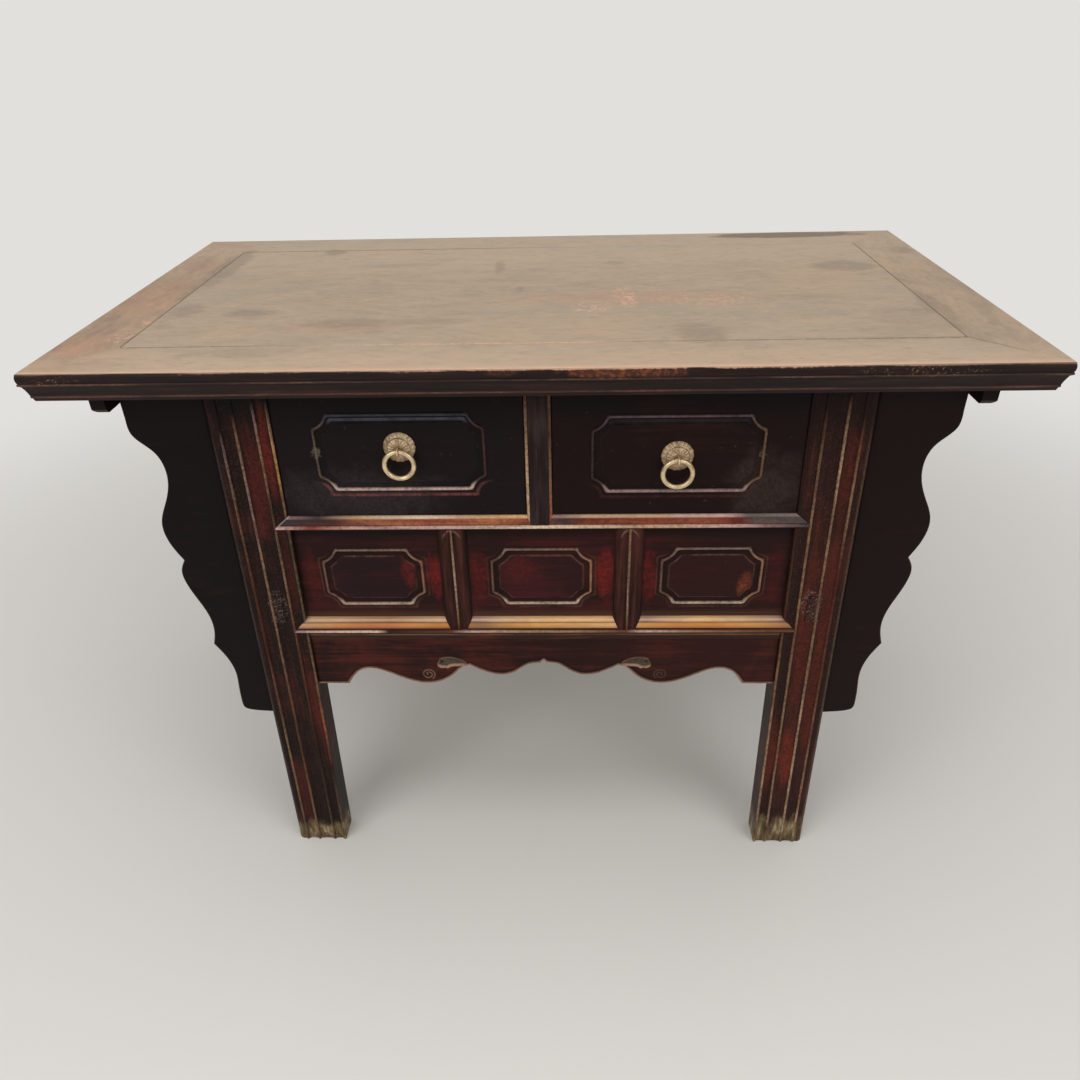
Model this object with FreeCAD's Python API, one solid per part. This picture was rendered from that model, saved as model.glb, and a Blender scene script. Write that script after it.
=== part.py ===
import FreeCAD, Part
import math
import os

# Two-drawer altar table: a mitred frame-and-panel top with overhanging ends, splayed moulded
# legs, scalloped spandrels and apron, two drawers with ring pulls, and a closed compartment
# under the drawers behind three cartouche panels.
# Millimetres. X runs to the right, Y to the back, Z up. The origin is on the floor, under the
# middle of the top.

V = FreeCAD.Vector

# Overall sizes
TABLE_HEIGHT = 796.0
TOP_LENGTH = 1106.0
TOP_DEPTH = 600.0
TOP_THICKNESS = 34.0
CUT_OVERRUN = 2.0

# Top frame and its moulded edge
FRAME_WIDTH = 80.0
EDGE_ARRIS = 1.6
EDGE_BAND = 11.5
EDGE_BULGE = 1.0
EDGE_BEAD = 3.0
EDGE_BEAD_ROOT = 1.4
EDGE_LEDGE = 2.0
EDGE_LEDGE_DROP = 1.5
EDGE_FOOT_INSET = 9.0
EDGE_HOLLOW = 0.3
EDGE_LOWER_BEAD_RISE = 0.8
EDGE_LOWER_BEAD_SHARES = (0.63, 0.80)
FRAME_TENON_THICKNESS = 12.0
FRAME_TENON_TOP = 10.0
FRAME_TENON_WIDTH = 36.0
FRAME_TENON_INSET = 24.0
FRAME_TENON_STOP = 18.0

# Floating panel of the top and its cross battens
TOP_PANEL_THICKNESS = 14.0
TOP_PANEL_SEAM = 0.5
TOP_TONGUE = 8.0
TOP_TONGUE_THICKNESS = 5.0
TOP_TONGUE_TOP = 6.0
BATTEN_REACH = 230.0
BATTEN_WIDTH = 36.0
BATTEN_NECK = 24.0
BATTEN_KEY = 30.0
BATTEN_KEY_HEIGHT = 4.0
BATTEN_TENON = 10.0
BATTEN_TENON_WIDTH = 20.0
BATTEN_TENON_MARGIN = 4.0

# Battens under the overhanging ends
END_BATTEN_REACH = 490.0
END_BATTEN_WIDTH = 17.0
END_BATTEN_HEIGHT = 25.0
END_BATTEN_SETBACK = 30.0
END_BATTEN_ROUND = 5.0

# Legs: reach is from the middle of the table to a leg's outer face
LEG_SETBACK = 42.0
LEG_WIDTH = 75.0
LEG_DEPTH = 38.0
LEG_TOP_REACH = 378.5
LEG_FOOT_REACH = 395.5
LEG_ROUND = 7.5
LEG_BEAD_SHARES = (0.24, 0.565, 0.81)
LEG_TENON_WIDTH = 26.0
LEG_TENON_THICKNESS = 14.0
LEG_TENON_HEIGHT = 20.0
REAR_LEG_ROUND = 4.0

# Beads and hollows of the front mouldings
BEAD_RADIUS = 2.0
BEAD_RISE = 1.9
HOLLOW_DEPTH = 0.9

# Heights of the front openings and members, from the top downwards
TOP_RAIL_HEIGHT = 12.0
TOP_RAIL_RECESS = 4.0
DRAWER_OPENING = 156.0
DRAWER_RAIL_HEIGHT = 20.0
PANEL_OPENING = 137.0
LOWER_RAIL_HEIGHT = 35.0
APRON_DROP = 80.0

# Joints of the front members
RAIL_DEPTH = 38.0
SHOULDER_DEPTH = 10.0
DRAWER_RAIL_BEAD = 17.0
LOWER_RAIL_BEAD = 20.5
LOWER_RAIL_SLOPE = 15.0
LOWER_RAIL_LIP = 1.2
LOWER_RAIL_SWELL = 0.8
LOWER_RAIL_FILLET = 24.5
LOWER_RAIL_FILLET_RECESS = 4.0
RAIL_TENON = 22.0
RAIL_TENON_ROOT = 6.0
RAIL_TENON_FRONT = 13.0
RAIL_TENON_THICKNESS = 12.0
RAIL_TENON_MARGIN = 3.0

# Post between the drawers and mullions between the panels
POST_WIDTH = 31.0
POST_TONGUE_WIDTH = 20.0
MULLION_REACH = 110.0
MULLION_WIDTH = 36.5
MULLION_TONGUE_WIDTH = 21.0
MULLION_ROUND = 6.0
MULLION_SET = 1.0
MULLION_HEAD_ROUND = 9.0
STUB_TENON = 8.0
STUB_TENON_WIDTH = 16.0

# Front panels and their cartouches
PANEL_RECESS = 8.0
PANEL_THICKNESS = 9.0
PANEL_TONGUE = 6.0
PANEL_TONGUE_THICKNESS = 4.0
PANEL_TONGUE_SET = 3.0
CARTOUCHE_CORNER = 23.0
CARTOUCHE_BEAD_WIDTH = 4.2
CARTOUCHE_BEAD_RISE = 2.2
CARTOUCHE_BEAD_SHARES = ((0.0, 0.0), (0.10, 0.55), (0.28, 0.88), (0.42, 1.0))
CARTOUCHE_SCOOP_SHARES = ((0.83, 0.055), (0.70, 0.22), (0.50, 0.50), (0.22, 0.70), (0.055, 0.83))
CARTOUCHE_FIELD_INSET = 11.0
CARTOUCHE_FIELD_RISE = 1.2
PANEL_CARTOUCHE_WIDTH = 129.0
PANEL_CARTOUCHE_HEIGHT = 87.0
PANEL_CARTOUCHE_DROP = 5.5
PANEL_CARTOUCHE_SHIFT = 5.0
DRAWER_CARTOUCHE_WIDTH = 200.0
DRAWER_CARTOUCHE_HEIGHT = 99.5
DRAWER_CARTOUCHE_RAISES = {"left": 7.0, "right": 2.0}

# Apron: shares run from the middle out to the leg, and from the rail down
APRON_RECESS = 6.0
APRON_THICKNESS = 16.0
APRON_TONGUE = 6.0
APRON_TONGUE_THICKNESS = 8.0
APRON_PEAK_SHARES = (0.0, 0.4825)
APRON_MIDDLE_SHARES = ((0.0143, 0.5375), (0.067, 0.5775), (0.119, 0.725), (0.172, 0.80),
                       (0.262, 0.725), (0.324, 0.5875))
APRON_LOBE_SHARES = ((0.353, 0.6375), (0.391, 0.781), (0.447, 0.9375), (0.502, 0.99),
                     (0.604, 0.906), (0.70, 0.72), (0.755, 0.66), (0.795, 0.69), (0.865, 1.0))

# Spandrels: shares run out from the leg's top corner, and down from the top
SPANDREL_REACH = 100.0
SPANDREL_DROP = 500.0
SPANDREL_RECESS = 13.0
SPANDREL_THICKNESS = 16.0
SPANDREL_TONGUE = 8.0
SPANDREL_STRAIGHT_SHARE = 0.085
SPANDREL_HEAD_SHARES = ((0.985, 0.124), (0.78, 0.170), (0.70, 0.235), (0.80, 0.303),
                        (0.94, 0.372), (0.90, 0.432), (0.79, 0.478))
SPANDREL_WAIST_SHARES = ((0.865, 0.512), (0.855, 0.545), (0.75, 0.608), (0.67, 0.660),
                         (0.665, 0.708), (0.718, 0.751))
SPANDREL_TAIL_SHARES = ((0.60, 0.795), (0.528, 0.850), (0.545, 0.920), (0.553, 0.965))
SPANDREL_TOE_SHARES = ((0.53, 0.985), (0.45, 0.993), (0.28, 0.998))

# Side frames
SIDE_RAIL_THICKNESS = 30.0
SIDE_TOP_RAIL_HEIGHT = 30.0
SIDE_MIDDLE_RAIL_HEIGHT = 34.0
SIDE_LOWER_RAIL_HEIGHT = 40.0
SIDE_RAIL_DROP = 5.0
SIDE_TENON_THICKNESS = 18.0
SIDE_TENON = 16.0
THROUGH_TENON_SET = 1.0
SIDE_PANEL_THICKNESS = 8.0

# Back frame
REAR_RAIL_THICKNESS = 28.0
REAR_RAIL_RECESS = 5.0
REAR_MIDDLE_RAIL_HEIGHT = 34.0
REAR_PANEL_RECESS = 12.0

# Compartment floor
FLOOR_THICKNESS = 10.0
FLOOR_TONGUE = 6.0
FLOOR_LAP = 10.0
FLOOR_SEAM = 0.4
FLOOR_CLEARANCE = 0.5

# Drawers and their runners
DRAWER_STOP_GAP = 0.5
DRAWER_RECESS = 3.0
DRAWER_FRONT_THICKNESS = 20.0
DRAWER_SIDE_THICKNESS = 11.0
DRAWER_SIDE_HEIGHT = 118.0
DRAWER_BOTTOM_THICKNESS = 8.0
DRAWER_BOTTOM_RAISE = 8.0
DRAWER_GROOVE = 4.0
DRAWER_RUN_GAP = 0.3
DRAWER_SIDE_GAP = 0.8
DRAWER_TOP_GAP = 1.2
DRAWER_BOX_GAP = 8.0
DRAWER_BACK_DROP = 6.0
DOVETAIL_LENGTH = 12.0
DOVETAIL_COUNT = 3
DOVETAIL_FLARE = 3.0
DOVETAIL_FILL_SHARE = 0.5
RUNNER_HEIGHT = 18.0
RUNNER_LAP = 14.0
GUIDE_WIDTH = 42.0
GUIDE_HEIGHT = 15.0
GUIDE_GAP = 1.5
RUNNER_TENON = 10.0
RUNNER_TENON_WIDTH = 30.0
RUNNER_TENON_HEIGHT = 10.0
RUNNER_TENON_DROP = 4.0

# Pulls: the two were fitted at slightly different heights
PULL_RAISES = {"left": 14.0, "right": 0.0}
ROSETTE_RADIUS = 19.3
ROSETTE_HEIGHT = 8.0
ROSETTE_WALL = 1.2
ROSETTE_HOLE_RADIUS = 2.6
ROSETTE_SHOULDER_SHARES = (0.66, 0.68)
EYE_SEAT_GAP = 0.05
EYE_WIRE_RADIUS = 1.1
EYE_GAP = 0.3
COTTER_STEM_RADIUS = 1.8
COTTER_BORE_GAP = 0.2
COTTER_END = 10.0
RING_RADIUS = 17.0
RING_WIRE_RADIUS = 2.9
RING_SPLIT = 0.8

# Levels worked out from the sizes
UNDER_TOP = TABLE_HEIGHT - TOP_THICKNESS
DRAWER_TOP = UNDER_TOP - TOP_RAIL_HEIGHT
DRAWER_FLOOR = DRAWER_TOP - DRAWER_OPENING
PANEL_TOP = DRAWER_FLOOR - DRAWER_RAIL_HEIGHT
PANEL_FLOOR = PANEL_TOP - PANEL_OPENING
LOWER_RAIL_FOOT = PANEL_FLOOR - LOWER_RAIL_HEIGHT
SIDE_LOWER_FOOT = PANEL_FLOOR - SIDE_RAIL_DROP
SIDE_LOWER_HEAD = SIDE_LOWER_FOOT + SIDE_LOWER_RAIL_HEIGHT

# Planes worked out from the sizes
FRONT = LEG_SETBACK - TOP_DEPTH / 2
LEG_BACK = FRONT + LEG_DEPTH
REAR_FACE = -FRONT
REAR_INNER = REAR_FACE - LEG_DEPTH
SHOULDER_BACK = FRONT + SHOULDER_DEPTH
RAIL_BACK = FRONT + RAIL_DEPTH
PANEL_FACE = FRONT + PANEL_RECESS
DRAWER_FACE = FRONT + DRAWER_RECESS
DRAWER_BACK_OF_FRONT = DRAWER_FACE + DRAWER_FRONT_THICKNESS


def leg_outer(z):
    """Reach of a leg's outer face at height z."""
    return LEG_FOOT_REACH + (LEG_TOP_REACH - LEG_FOOT_REACH) * z / UNDER_TOP


def leg_inner(z):
    """Reach of a leg's inner face at height z."""
    return leg_outer(z) - LEG_WIDTH


def leg_middle(z):
    """Reach of a leg's middle at height z."""
    return leg_outer(z) - LEG_WIDTH / 2


def plane_xy(level):
    """Places an outline (x, y) at one height."""
    return lambda x, y: V(x, y, level)


def plane_xz(level):
    """Places an outline (x, z) at one y."""
    return lambda x, z: V(x, level, z)


def plane_yz(level):
    """Places an outline (y, z) at one x."""
    return lambda y, z: V(level, y, z)


class Outline:
    """A chain of lines, arcs and smooth curves in one plane, closed into a wire."""

    def __init__(self, place, first):
        self.place = place
        self.first = first
        self.last = first
        self.edges = []

    def line(self, *ends):
        """Straight runs to each point in turn."""
        for end in ends:
            self.edges.append(Part.LineSegment(self.place(*self.last), self.place(*end)).toShape())
            self.last = end
        return self

    def arc(self, middle, end):
        """An arc through a middle point to its end."""
        spots = [self.place(*point) for point in (self.last, middle, end)]
        self.edges.append(Part.Arc(*spots).toShape())
        self.last = end
        return self

    def curve(self, points):
        """A smooth curve through the points."""
        spline = Part.BSplineCurve()
        spline.interpolate([self.place(*point) for point in (self.last, *points)])
        self.edges.append(spline.toShape())
        self.last = points[-1]
        return self

    def wire(self):
        """The closed wire."""
        if self.last != self.first:
            self.line(self.first)
        return Part.Wire(self.edges)

    def solid(self, along):
        """The closed outline carried along a vector."""
        return Part.Face(self.wire()).extrude(along)


def slab(points, y_front, y_back):
    """A board whose straight-sided outline lies in the XZ plane."""
    outline = Outline(plane_xz(y_front), points[0]).line(*points[1:])
    return outline.solid(V(0, y_back - y_front, 0))


def block(x_span, y_span, z_span):
    """A box between pairs of limits."""
    sizes = [high - low for low, high in (x_span, y_span, z_span)]
    return Part.makeBox(*sizes, V(x_span[0], y_span[0], z_span[0]))


def mirrored(shape):
    """The left-hand piece of a right-hand one."""
    return shape.mirror(V(0, 0, 0), V(1, 0, 0))


def turned_back(shape):
    """The rear piece of a front one."""
    return shape.mirror(V(0, 0, 0), V(0, 1, 0))


def both_sides(shape):
    """A right-hand piece and its left-hand twin."""
    return [shape, mirrored(shape)]


def about_middle(points):
    """A right-hand chain of points joined to its mirror image."""
    return points + [(-x, z) for x, z in reversed(points)]


def bead_run(outline, start, centres, rise=BEAD_RISE):
    """Half-round beads at the centres, with a shallow hollow before each one.

    The outline's places are (u, d): u across the face, d into the wood. Bead crests are at
    d = 0 and the ground between them is at d = rise."""
    across = start
    for centre in centres:
        foot = centre - BEAD_RADIUS
        if foot > across:
            outline.arc(((across + foot) / 2, rise + HOLLOW_DEPTH), (foot, rise))
        across = centre + BEAD_RADIUS
        outline.arc((centre, 0), (across, rise))
    return across


# Top

def top_edge_outline(place):
    """Section of a frame member: a runs in from the arris, b down from the face.

    A rounded arris, a shallow convex band, a bead, a narrow ledge, and a slope with a second
    bead on it."""
    ledge = (EDGE_BULGE + EDGE_LEDGE, EDGE_BAND + EDGE_BEAD + EDGE_LEDGE_DROP)
    foot = (EDGE_FOOT_INSET, TOP_THICKNESS)
    run, fall = foot[0] - ledge[0], foot[1] - ledge[1]
    length = math.hypot(run, fall)
    out = (-fall / length, run / length)

    def on_slope(share, lift):
        return (ledge[0] + run * share + out[0] * lift, ledge[1] + fall * share - out[1] * -lift)

    first, second = EDGE_LOWER_BEAD_SHARES
    bend = EDGE_ARRIS * (1 - math.sqrt(0.5))
    outline = Outline(place, (EDGE_BULGE + EDGE_ARRIS, 0))
    outline.arc((EDGE_BULGE + bend, bend), (EDGE_BULGE, EDGE_ARRIS))
    outline.arc((0, (EDGE_ARRIS + EDGE_BAND) / 2), (EDGE_BULGE, EDGE_BAND))
    outline.line((EDGE_BEAD_ROOT, EDGE_BAND))
    outline.arc((0, EDGE_BAND + EDGE_BEAD / 2), (EDGE_BEAD_ROOT, EDGE_BAND + EDGE_BEAD))
    outline.line(ledge)
    outline.arc(on_slope(first / 2, -EDGE_HOLLOW), on_slope(first, 0))
    outline.arc(on_slope((first + second) / 2, EDGE_LOWER_BEAD_RISE), on_slope(second, 0))
    outline.line(foot, (FRAME_WIDTH, TOP_THICKNESS), (FRAME_WIDTH, 0))
    return outline


def mitre_mask(half_run, half_cross):
    """Outline (along, across) of a front member between its two mitres."""
    inner_run, inner_cross = half_run - FRAME_WIDTH, half_cross - FRAME_WIDTH
    return [(-half_run, -half_cross), (half_run, -half_cross), (inner_run, -inner_cross),
            (-inner_run, -inner_cross)]


def top_long_rail():
    """Front member of the top frame, with a tenon at each mitre."""
    half_length, half_depth = TOP_LENGTH / 2, TOP_DEPTH / 2
    outline = top_edge_outline(lambda a, b: V(-half_length, a - half_depth, TABLE_HEIGHT - b))
    bar = outline.solid(V(TOP_LENGTH, 0, 0))
    corners = mitre_mask(half_length, half_depth)
    mask = Outline(plane_xy(UNDER_TOP), corners[0]).line(*corners[1:])
    bar = bar.common(mask.solid(V(0, 0, TOP_THICKNESS)))
    tenon_front = FRAME_TENON_INSET - half_depth
    tenon_top = TABLE_HEIGHT - FRAME_TENON_TOP
    tenon = block((half_length - FRAME_WIDTH, half_length - FRAME_TENON_STOP),
                  (tenon_front, tenon_front + FRAME_TENON_WIDTH),
                  (tenon_top - FRAME_TENON_THICKNESS, tenon_top))
    return bar.fuse(both_sides(tenon))


def top_end_rail():
    """Right-hand end member of the top frame, before its mortises are cut."""
    half_length, half_depth = TOP_LENGTH / 2, TOP_DEPTH / 2
    outline = top_edge_outline(lambda a, b: V(half_length - a, -half_depth, TABLE_HEIGHT - b))
    bar = outline.solid(V(0, TOP_DEPTH, 0))
    corners = [(-across, along) for along, across in mitre_mask(half_depth, half_length)]
    mask = Outline(plane_xy(UNDER_TOP), corners[0]).line(*corners[1:])
    return bar.common(mask.solid(V(0, 0, TOP_THICKNESS)))


def top_panel_tongue(extra):
    """The thin edge of the floating panel, grown by some extra room."""
    half_length = TOP_LENGTH / 2 - FRAME_WIDTH + TOP_TONGUE + extra
    half_depth = TOP_DEPTH / 2 - FRAME_WIDTH + TOP_TONGUE + extra
    high = TABLE_HEIGHT - TOP_TONGUE_TOP
    return block((-half_length, half_length), (-half_depth, half_depth),
                 (high - TOP_TONGUE_THICKNESS, high))


def top_panel():
    """Floating panel, flush with the frame."""
    half_length = TOP_LENGTH / 2 - FRAME_WIDTH - TOP_PANEL_SEAM
    half_depth = TOP_DEPTH / 2 - FRAME_WIDTH - TOP_PANEL_SEAM
    body = block((-half_length, half_length), (-half_depth, half_depth),
                 (TABLE_HEIGHT - TOP_PANEL_THICKNESS, TABLE_HEIGHT))
    return body.fuse(top_panel_tongue(0))


def top_batten():
    """Cross batten: a bar with a dovetail key that slides into the panel's underside."""
    under_panel = TABLE_HEIGHT - TOP_PANEL_THICKNESS
    key_top = under_panel + BATTEN_KEY_HEIGHT
    span = TOP_DEPTH / 2 - FRAME_WIDTH
    half = [(BATTEN_WIDTH / 2, UNDER_TOP), (BATTEN_WIDTH / 2, under_panel),
            (BATTEN_NECK / 2, under_panel), (BATTEN_KEY / 2, key_top)]
    bar = slab(about_middle(half), -span, span)
    tenon = block((-BATTEN_TENON_WIDTH / 2, BATTEN_TENON_WIDTH / 2),
                  (-span - BATTEN_TENON, span + BATTEN_TENON),
                  (UNDER_TOP + BATTEN_TENON_MARGIN, under_panel - BATTEN_TENON_MARGIN))
    return bar.fuse(tenon).translated(V(BATTEN_REACH, 0, 0))


def end_batten():
    """Batten under the right-hand overhang, with a rounded lower outer corner."""
    inner = END_BATTEN_REACH - END_BATTEN_WIDTH / 2
    outer = END_BATTEN_REACH + END_BATTEN_WIDTH / 2
    foot = UNDER_TOP - END_BATTEN_HEIGHT
    half_run = TOP_DEPTH / 2 - END_BATTEN_SETBACK
    bend = END_BATTEN_ROUND * (1 - math.sqrt(0.5))
    outline = Outline(plane_xz(-half_run), (inner, UNDER_TOP)).line((inner, foot))
    outline.line((outer - END_BATTEN_ROUND, foot))
    outline.arc((outer - bend, foot + bend), (outer, foot + END_BATTEN_ROUND))
    outline.line((outer, UNDER_TOP))
    bar = outline.solid(V(0, 2 * half_run, 0))
    low = foot - CUT_OVERRUN
    ends = [(half_run, UNDER_TOP), (half_run, foot + END_BATTEN_ROUND),
            (half_run - END_BATTEN_ROUND, foot), (half_run - END_BATTEN_ROUND, low)]
    side = about_middle(ends)
    mask = Outline(plane_yz(inner), side[0]).line(*side[1:])
    return bar.common(mask.solid(V(END_BATTEN_WIDTH, 0, 0)))


# Front frame

def rail_body_corners(low, high):
    """Outline (x, z) of a member between the sloping inner faces of the legs."""
    return about_middle([(leg_inner(low), low), (leg_inner(high), high)])


def rail_tenons(low, high, y_front, thickness, length):
    """Tenons at both ends of a member that spans the legs."""
    reach = leg_inner(high)
    tenon = block((reach - RAIL_TENON_ROOT, reach + length), (y_front, y_front + thickness),
                  (low + RAIL_TENON_MARGIN, high - RAIL_TENON_MARGIN))
    return both_sides(tenon)


def front_rail_tenons(low, high):
    """Tenons of a front rail into both front legs."""
    return rail_tenons(low, high, FRONT + RAIL_TENON_FRONT, RAIL_TENON_THICKNESS, RAIL_TENON)


def shoulder_corners(high, bead):
    """Outline (x, z) of a rail's mitred shoulder, pointed where it meets the leg's first bead."""
    tip = high - bead
    low = tip - BEAD_RADIUS
    reach = leg_inner(tip) + LEG_BEAD_SHARES[0] * LEG_WIDTH
    return about_middle([(leg_inner(low), low), (reach, low), (reach, tip),
                         (leg_inner(high), high)])


def shoulder_room(high, bead):
    """The room that a mitred shoulder needs in the legs."""
    return slab(shoulder_corners(high, bead), FRONT - CUT_OVERRUN, SHOULDER_BACK)


def mitred_rail(section, low, high, bead):
    """A moulded rail with mitred shoulders over the legs and tenons into them."""
    reach = leg_inner(low) + LEG_WIDTH
    bar = section.solid(V(2 * reach, 0, 0)).translated(V(-reach, 0, 0))
    body = slab(rail_body_corners(low, high), FRONT - CUT_OVERRUN, RAIL_BACK)
    bar = bar.common(body.fuse(shoulder_room(high, bead)))
    return bar.fuse(front_rail_tenons(low, high))


def drawer_rail():
    """Rail under the drawers: an edge bead, a hollow and a lower bead."""
    section = Outline(lambda u, d: V(0, FRONT + d, DRAWER_FLOOR - u), (0, RAIL_DEPTH))
    section.line((0, BEAD_RISE))
    bead_run(section, 0, (BEAD_RADIUS, DRAWER_RAIL_BEAD))
    section.line((DRAWER_RAIL_HEIGHT, BEAD_RISE), (DRAWER_RAIL_HEIGHT, RAIL_DEPTH))
    return mitred_rail(section, PANEL_TOP, DRAWER_FLOOR, DRAWER_RAIL_BEAD)


def lower_rail():
    """Rail under the panels: a two-part slope that catches the light, a bead and a fillet."""
    section = Outline(lambda u, d: V(0, FRONT + d, PANEL_FLOOR - u), (0, RAIL_DEPTH))
    section.line((0, PANEL_RECESS))
    middle = (LOWER_RAIL_SLOPE / 2, (PANEL_RECESS + LOWER_RAIL_LIP) / 2)
    for start, end in (((0, PANEL_RECESS), middle), (middle, (LOWER_RAIL_SLOPE, LOWER_RAIL_LIP))):
        swell = ((start[0] + end[0]) / 2 - LOWER_RAIL_SWELL / 2,
                 (start[1] + end[1]) / 2 - LOWER_RAIL_SWELL)
        section.arc(swell, end)
    section.line((LOWER_RAIL_SLOPE, BEAD_RISE))
    across = bead_run(section, LOWER_RAIL_SLOPE, (LOWER_RAIL_BEAD,))
    section.line((LOWER_RAIL_FILLET, BEAD_RISE), (LOWER_RAIL_FILLET, LOWER_RAIL_FILLET_RECESS),
                 (LOWER_RAIL_HEIGHT, LOWER_RAIL_FILLET_RECESS), (LOWER_RAIL_HEIGHT, RAIL_DEPTH))
    return mitred_rail(section, LOWER_RAIL_FOOT, PANEL_FLOOR, LOWER_RAIL_BEAD)


def front_top_rail():
    """Thin rail over the drawers."""
    face = FRONT + TOP_RAIL_RECESS
    body = slab(rail_body_corners(DRAWER_TOP, UNDER_TOP), face, RAIL_BACK)
    return body.fuse(front_rail_tenons(DRAWER_TOP, UNDER_TOP))


def stub_tenons(low, high):
    """Stub tenons at the foot and head of an upright."""
    back = FRONT + RAIL_TENON_FRONT
    return block((-STUB_TENON_WIDTH / 2, STUB_TENON_WIDTH / 2),
                 (back, back + RAIL_TENON_THICKNESS), (low - STUB_TENON, high + STUB_TENON))


def post_tongue_corners():
    """Outline (x, z) of the post's tapered foot, which laps over the drawer rail."""
    foot = DRAWER_FLOOR - DRAWER_RAIL_BEAD + BEAD_RADIUS
    return about_middle([(POST_TONGUE_WIDTH / 2, foot), (POST_WIDTH / 2, DRAWER_FLOOR)])


def drawer_post():
    """Post between the drawers: a bead along each edge and a tapered foot."""
    half = POST_WIDTH / 2
    foot = DRAWER_FLOOR - DRAWER_RAIL_BEAD
    section = Outline(lambda u, d: V(u - half, FRONT + d, foot), (0, RAIL_DEPTH))
    section.line((0, BEAD_RISE))
    bead_run(section, 0, (BEAD_RADIUS, POST_WIDTH - BEAD_RADIUS))
    section.line((POST_WIDTH, RAIL_DEPTH))
    bar = section.solid(V(0, 0, DRAWER_TOP - foot))
    tongue = slab(post_tongue_corners(), FRONT - CUT_OVERRUN, SHOULDER_BACK)
    body = block((-half, half), (FRONT - CUT_OVERRUN, RAIL_BACK), (DRAWER_FLOOR, DRAWER_TOP))
    return bar.common(body.fuse(tongue)).fuse(stub_tenons(DRAWER_FLOOR, DRAWER_TOP))


def mullion_front(place_y, depth):
    """Outline of the mullion's front layer: an arched head and a tapered foot."""
    half = MULLION_WIDTH / 2
    shoulder = half - MULLION_HEAD_ROUND
    bend = MULLION_HEAD_ROUND * (1 - math.sqrt(0.5))
    tongue = MULLION_TONGUE_WIDTH / 2
    foot = PANEL_FLOOR - LOWER_RAIL_BEAD + BEAD_RADIUS
    outline = Outline(plane_xz(place_y), (-tongue, foot)).line((tongue, foot), (half, PANEL_FLOOR))
    outline.line((half, PANEL_TOP - MULLION_HEAD_ROUND))
    outline.arc((half - bend, PANEL_TOP - bend), (shoulder, PANEL_TOP))
    outline.line((-shoulder, PANEL_TOP))
    outline.arc((bend - half, PANEL_TOP - bend), (-half, PANEL_TOP - MULLION_HEAD_ROUND))
    outline.line((-half, PANEL_FLOOR))
    return outline.solid(V(0, depth, 0))


def mullion_tongue_room():
    """The room that a mullion's tapered foot needs in the lower rail."""
    half = MULLION_WIDTH / 2
    foot = PANEL_FLOOR - LOWER_RAIL_BEAD + BEAD_RADIUS
    corners = about_middle([(MULLION_TONGUE_WIDTH / 2, foot), (half, PANEL_FLOOR)])
    return slab(corners, FRONT - CUT_OVERRUN, SHOULDER_BACK).translated(V(MULLION_REACH, 0, 0))


def mullion():
    """Right-hand mullion: rounded edges and one bead down the middle."""
    half = MULLION_WIDTH / 2
    foot = PANEL_FLOOR - LOWER_RAIL_BEAD
    ground = BEAD_RISE
    bend = MULLION_ROUND * (1 - math.sqrt(0.5))
    section = Outline(lambda u, d: V(u - half, FRONT + MULLION_SET + d, foot),
                      (0, RAIL_DEPTH - MULLION_SET))
    section.line((0, ground + MULLION_ROUND))
    section.arc((bend, ground + bend), (MULLION_ROUND, ground))
    across = bead_run(section, MULLION_ROUND, (half,))
    far = MULLION_WIDTH - MULLION_ROUND
    section.arc(((across + far) / 2, ground + HOLLOW_DEPTH), (far, ground))
    section.arc((MULLION_WIDTH - bend, ground + bend), (MULLION_WIDTH, ground + MULLION_ROUND))
    section.line((MULLION_WIDTH, RAIL_DEPTH - MULLION_SET))
    bar = section.solid(V(0, 0, PANEL_TOP - foot))
    front = mullion_front(FRONT, SHOULDER_DEPTH)
    lower_front = slab(about_middle([(half, PANEL_FLOOR), (half, PANEL_TOP)]), PANEL_FACE, RAIL_BACK)
    bar = bar.common(front.fuse(lower_front)).fuse(stub_tenons(PANEL_FLOOR, PANEL_TOP))
    return bar.translated(V(MULLION_REACH, 0, 0))


# Cartouches

def cartouche_wire(centre, half_width, half_height, inset, y):
    """Closed wire of a cartouche: a rectangle whose corners are scooped.

    An inset moves every side in by the same distance; a corner's cut then shrinks by
    (2 - root 2) times the inset."""
    cut = CARTOUCHE_CORNER - (2 - math.sqrt(2)) * inset
    wide, high = half_width - inset, half_height - inset

    def spot(turn, near, far):
        x_sign, z_sign = ((1, 1), (1, -1), (-1, -1), (-1, 1))[turn]
        along, across = (near, far) if turn % 2 == 0 else (far, near)
        return (centre[0] + x_sign * (wide - along * cut), centre[1] + z_sign * (high - across * cut))

    outline = Outline(plane_xz(y), spot(0, 1, 0))
    for turn in range(4):
        if turn:
            outline.line(spot(turn, 1, 0))
        scoop = [spot(turn, *shares) for shares in CARTOUCHE_SCOOP_SHARES]
        outline.arc(scoop[0], scoop[1])
        outline.arc(scoop[2], scoop[3])
        outline.arc(scoop[4], spot(turn, 0, 1))
    return outline.wire()


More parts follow.
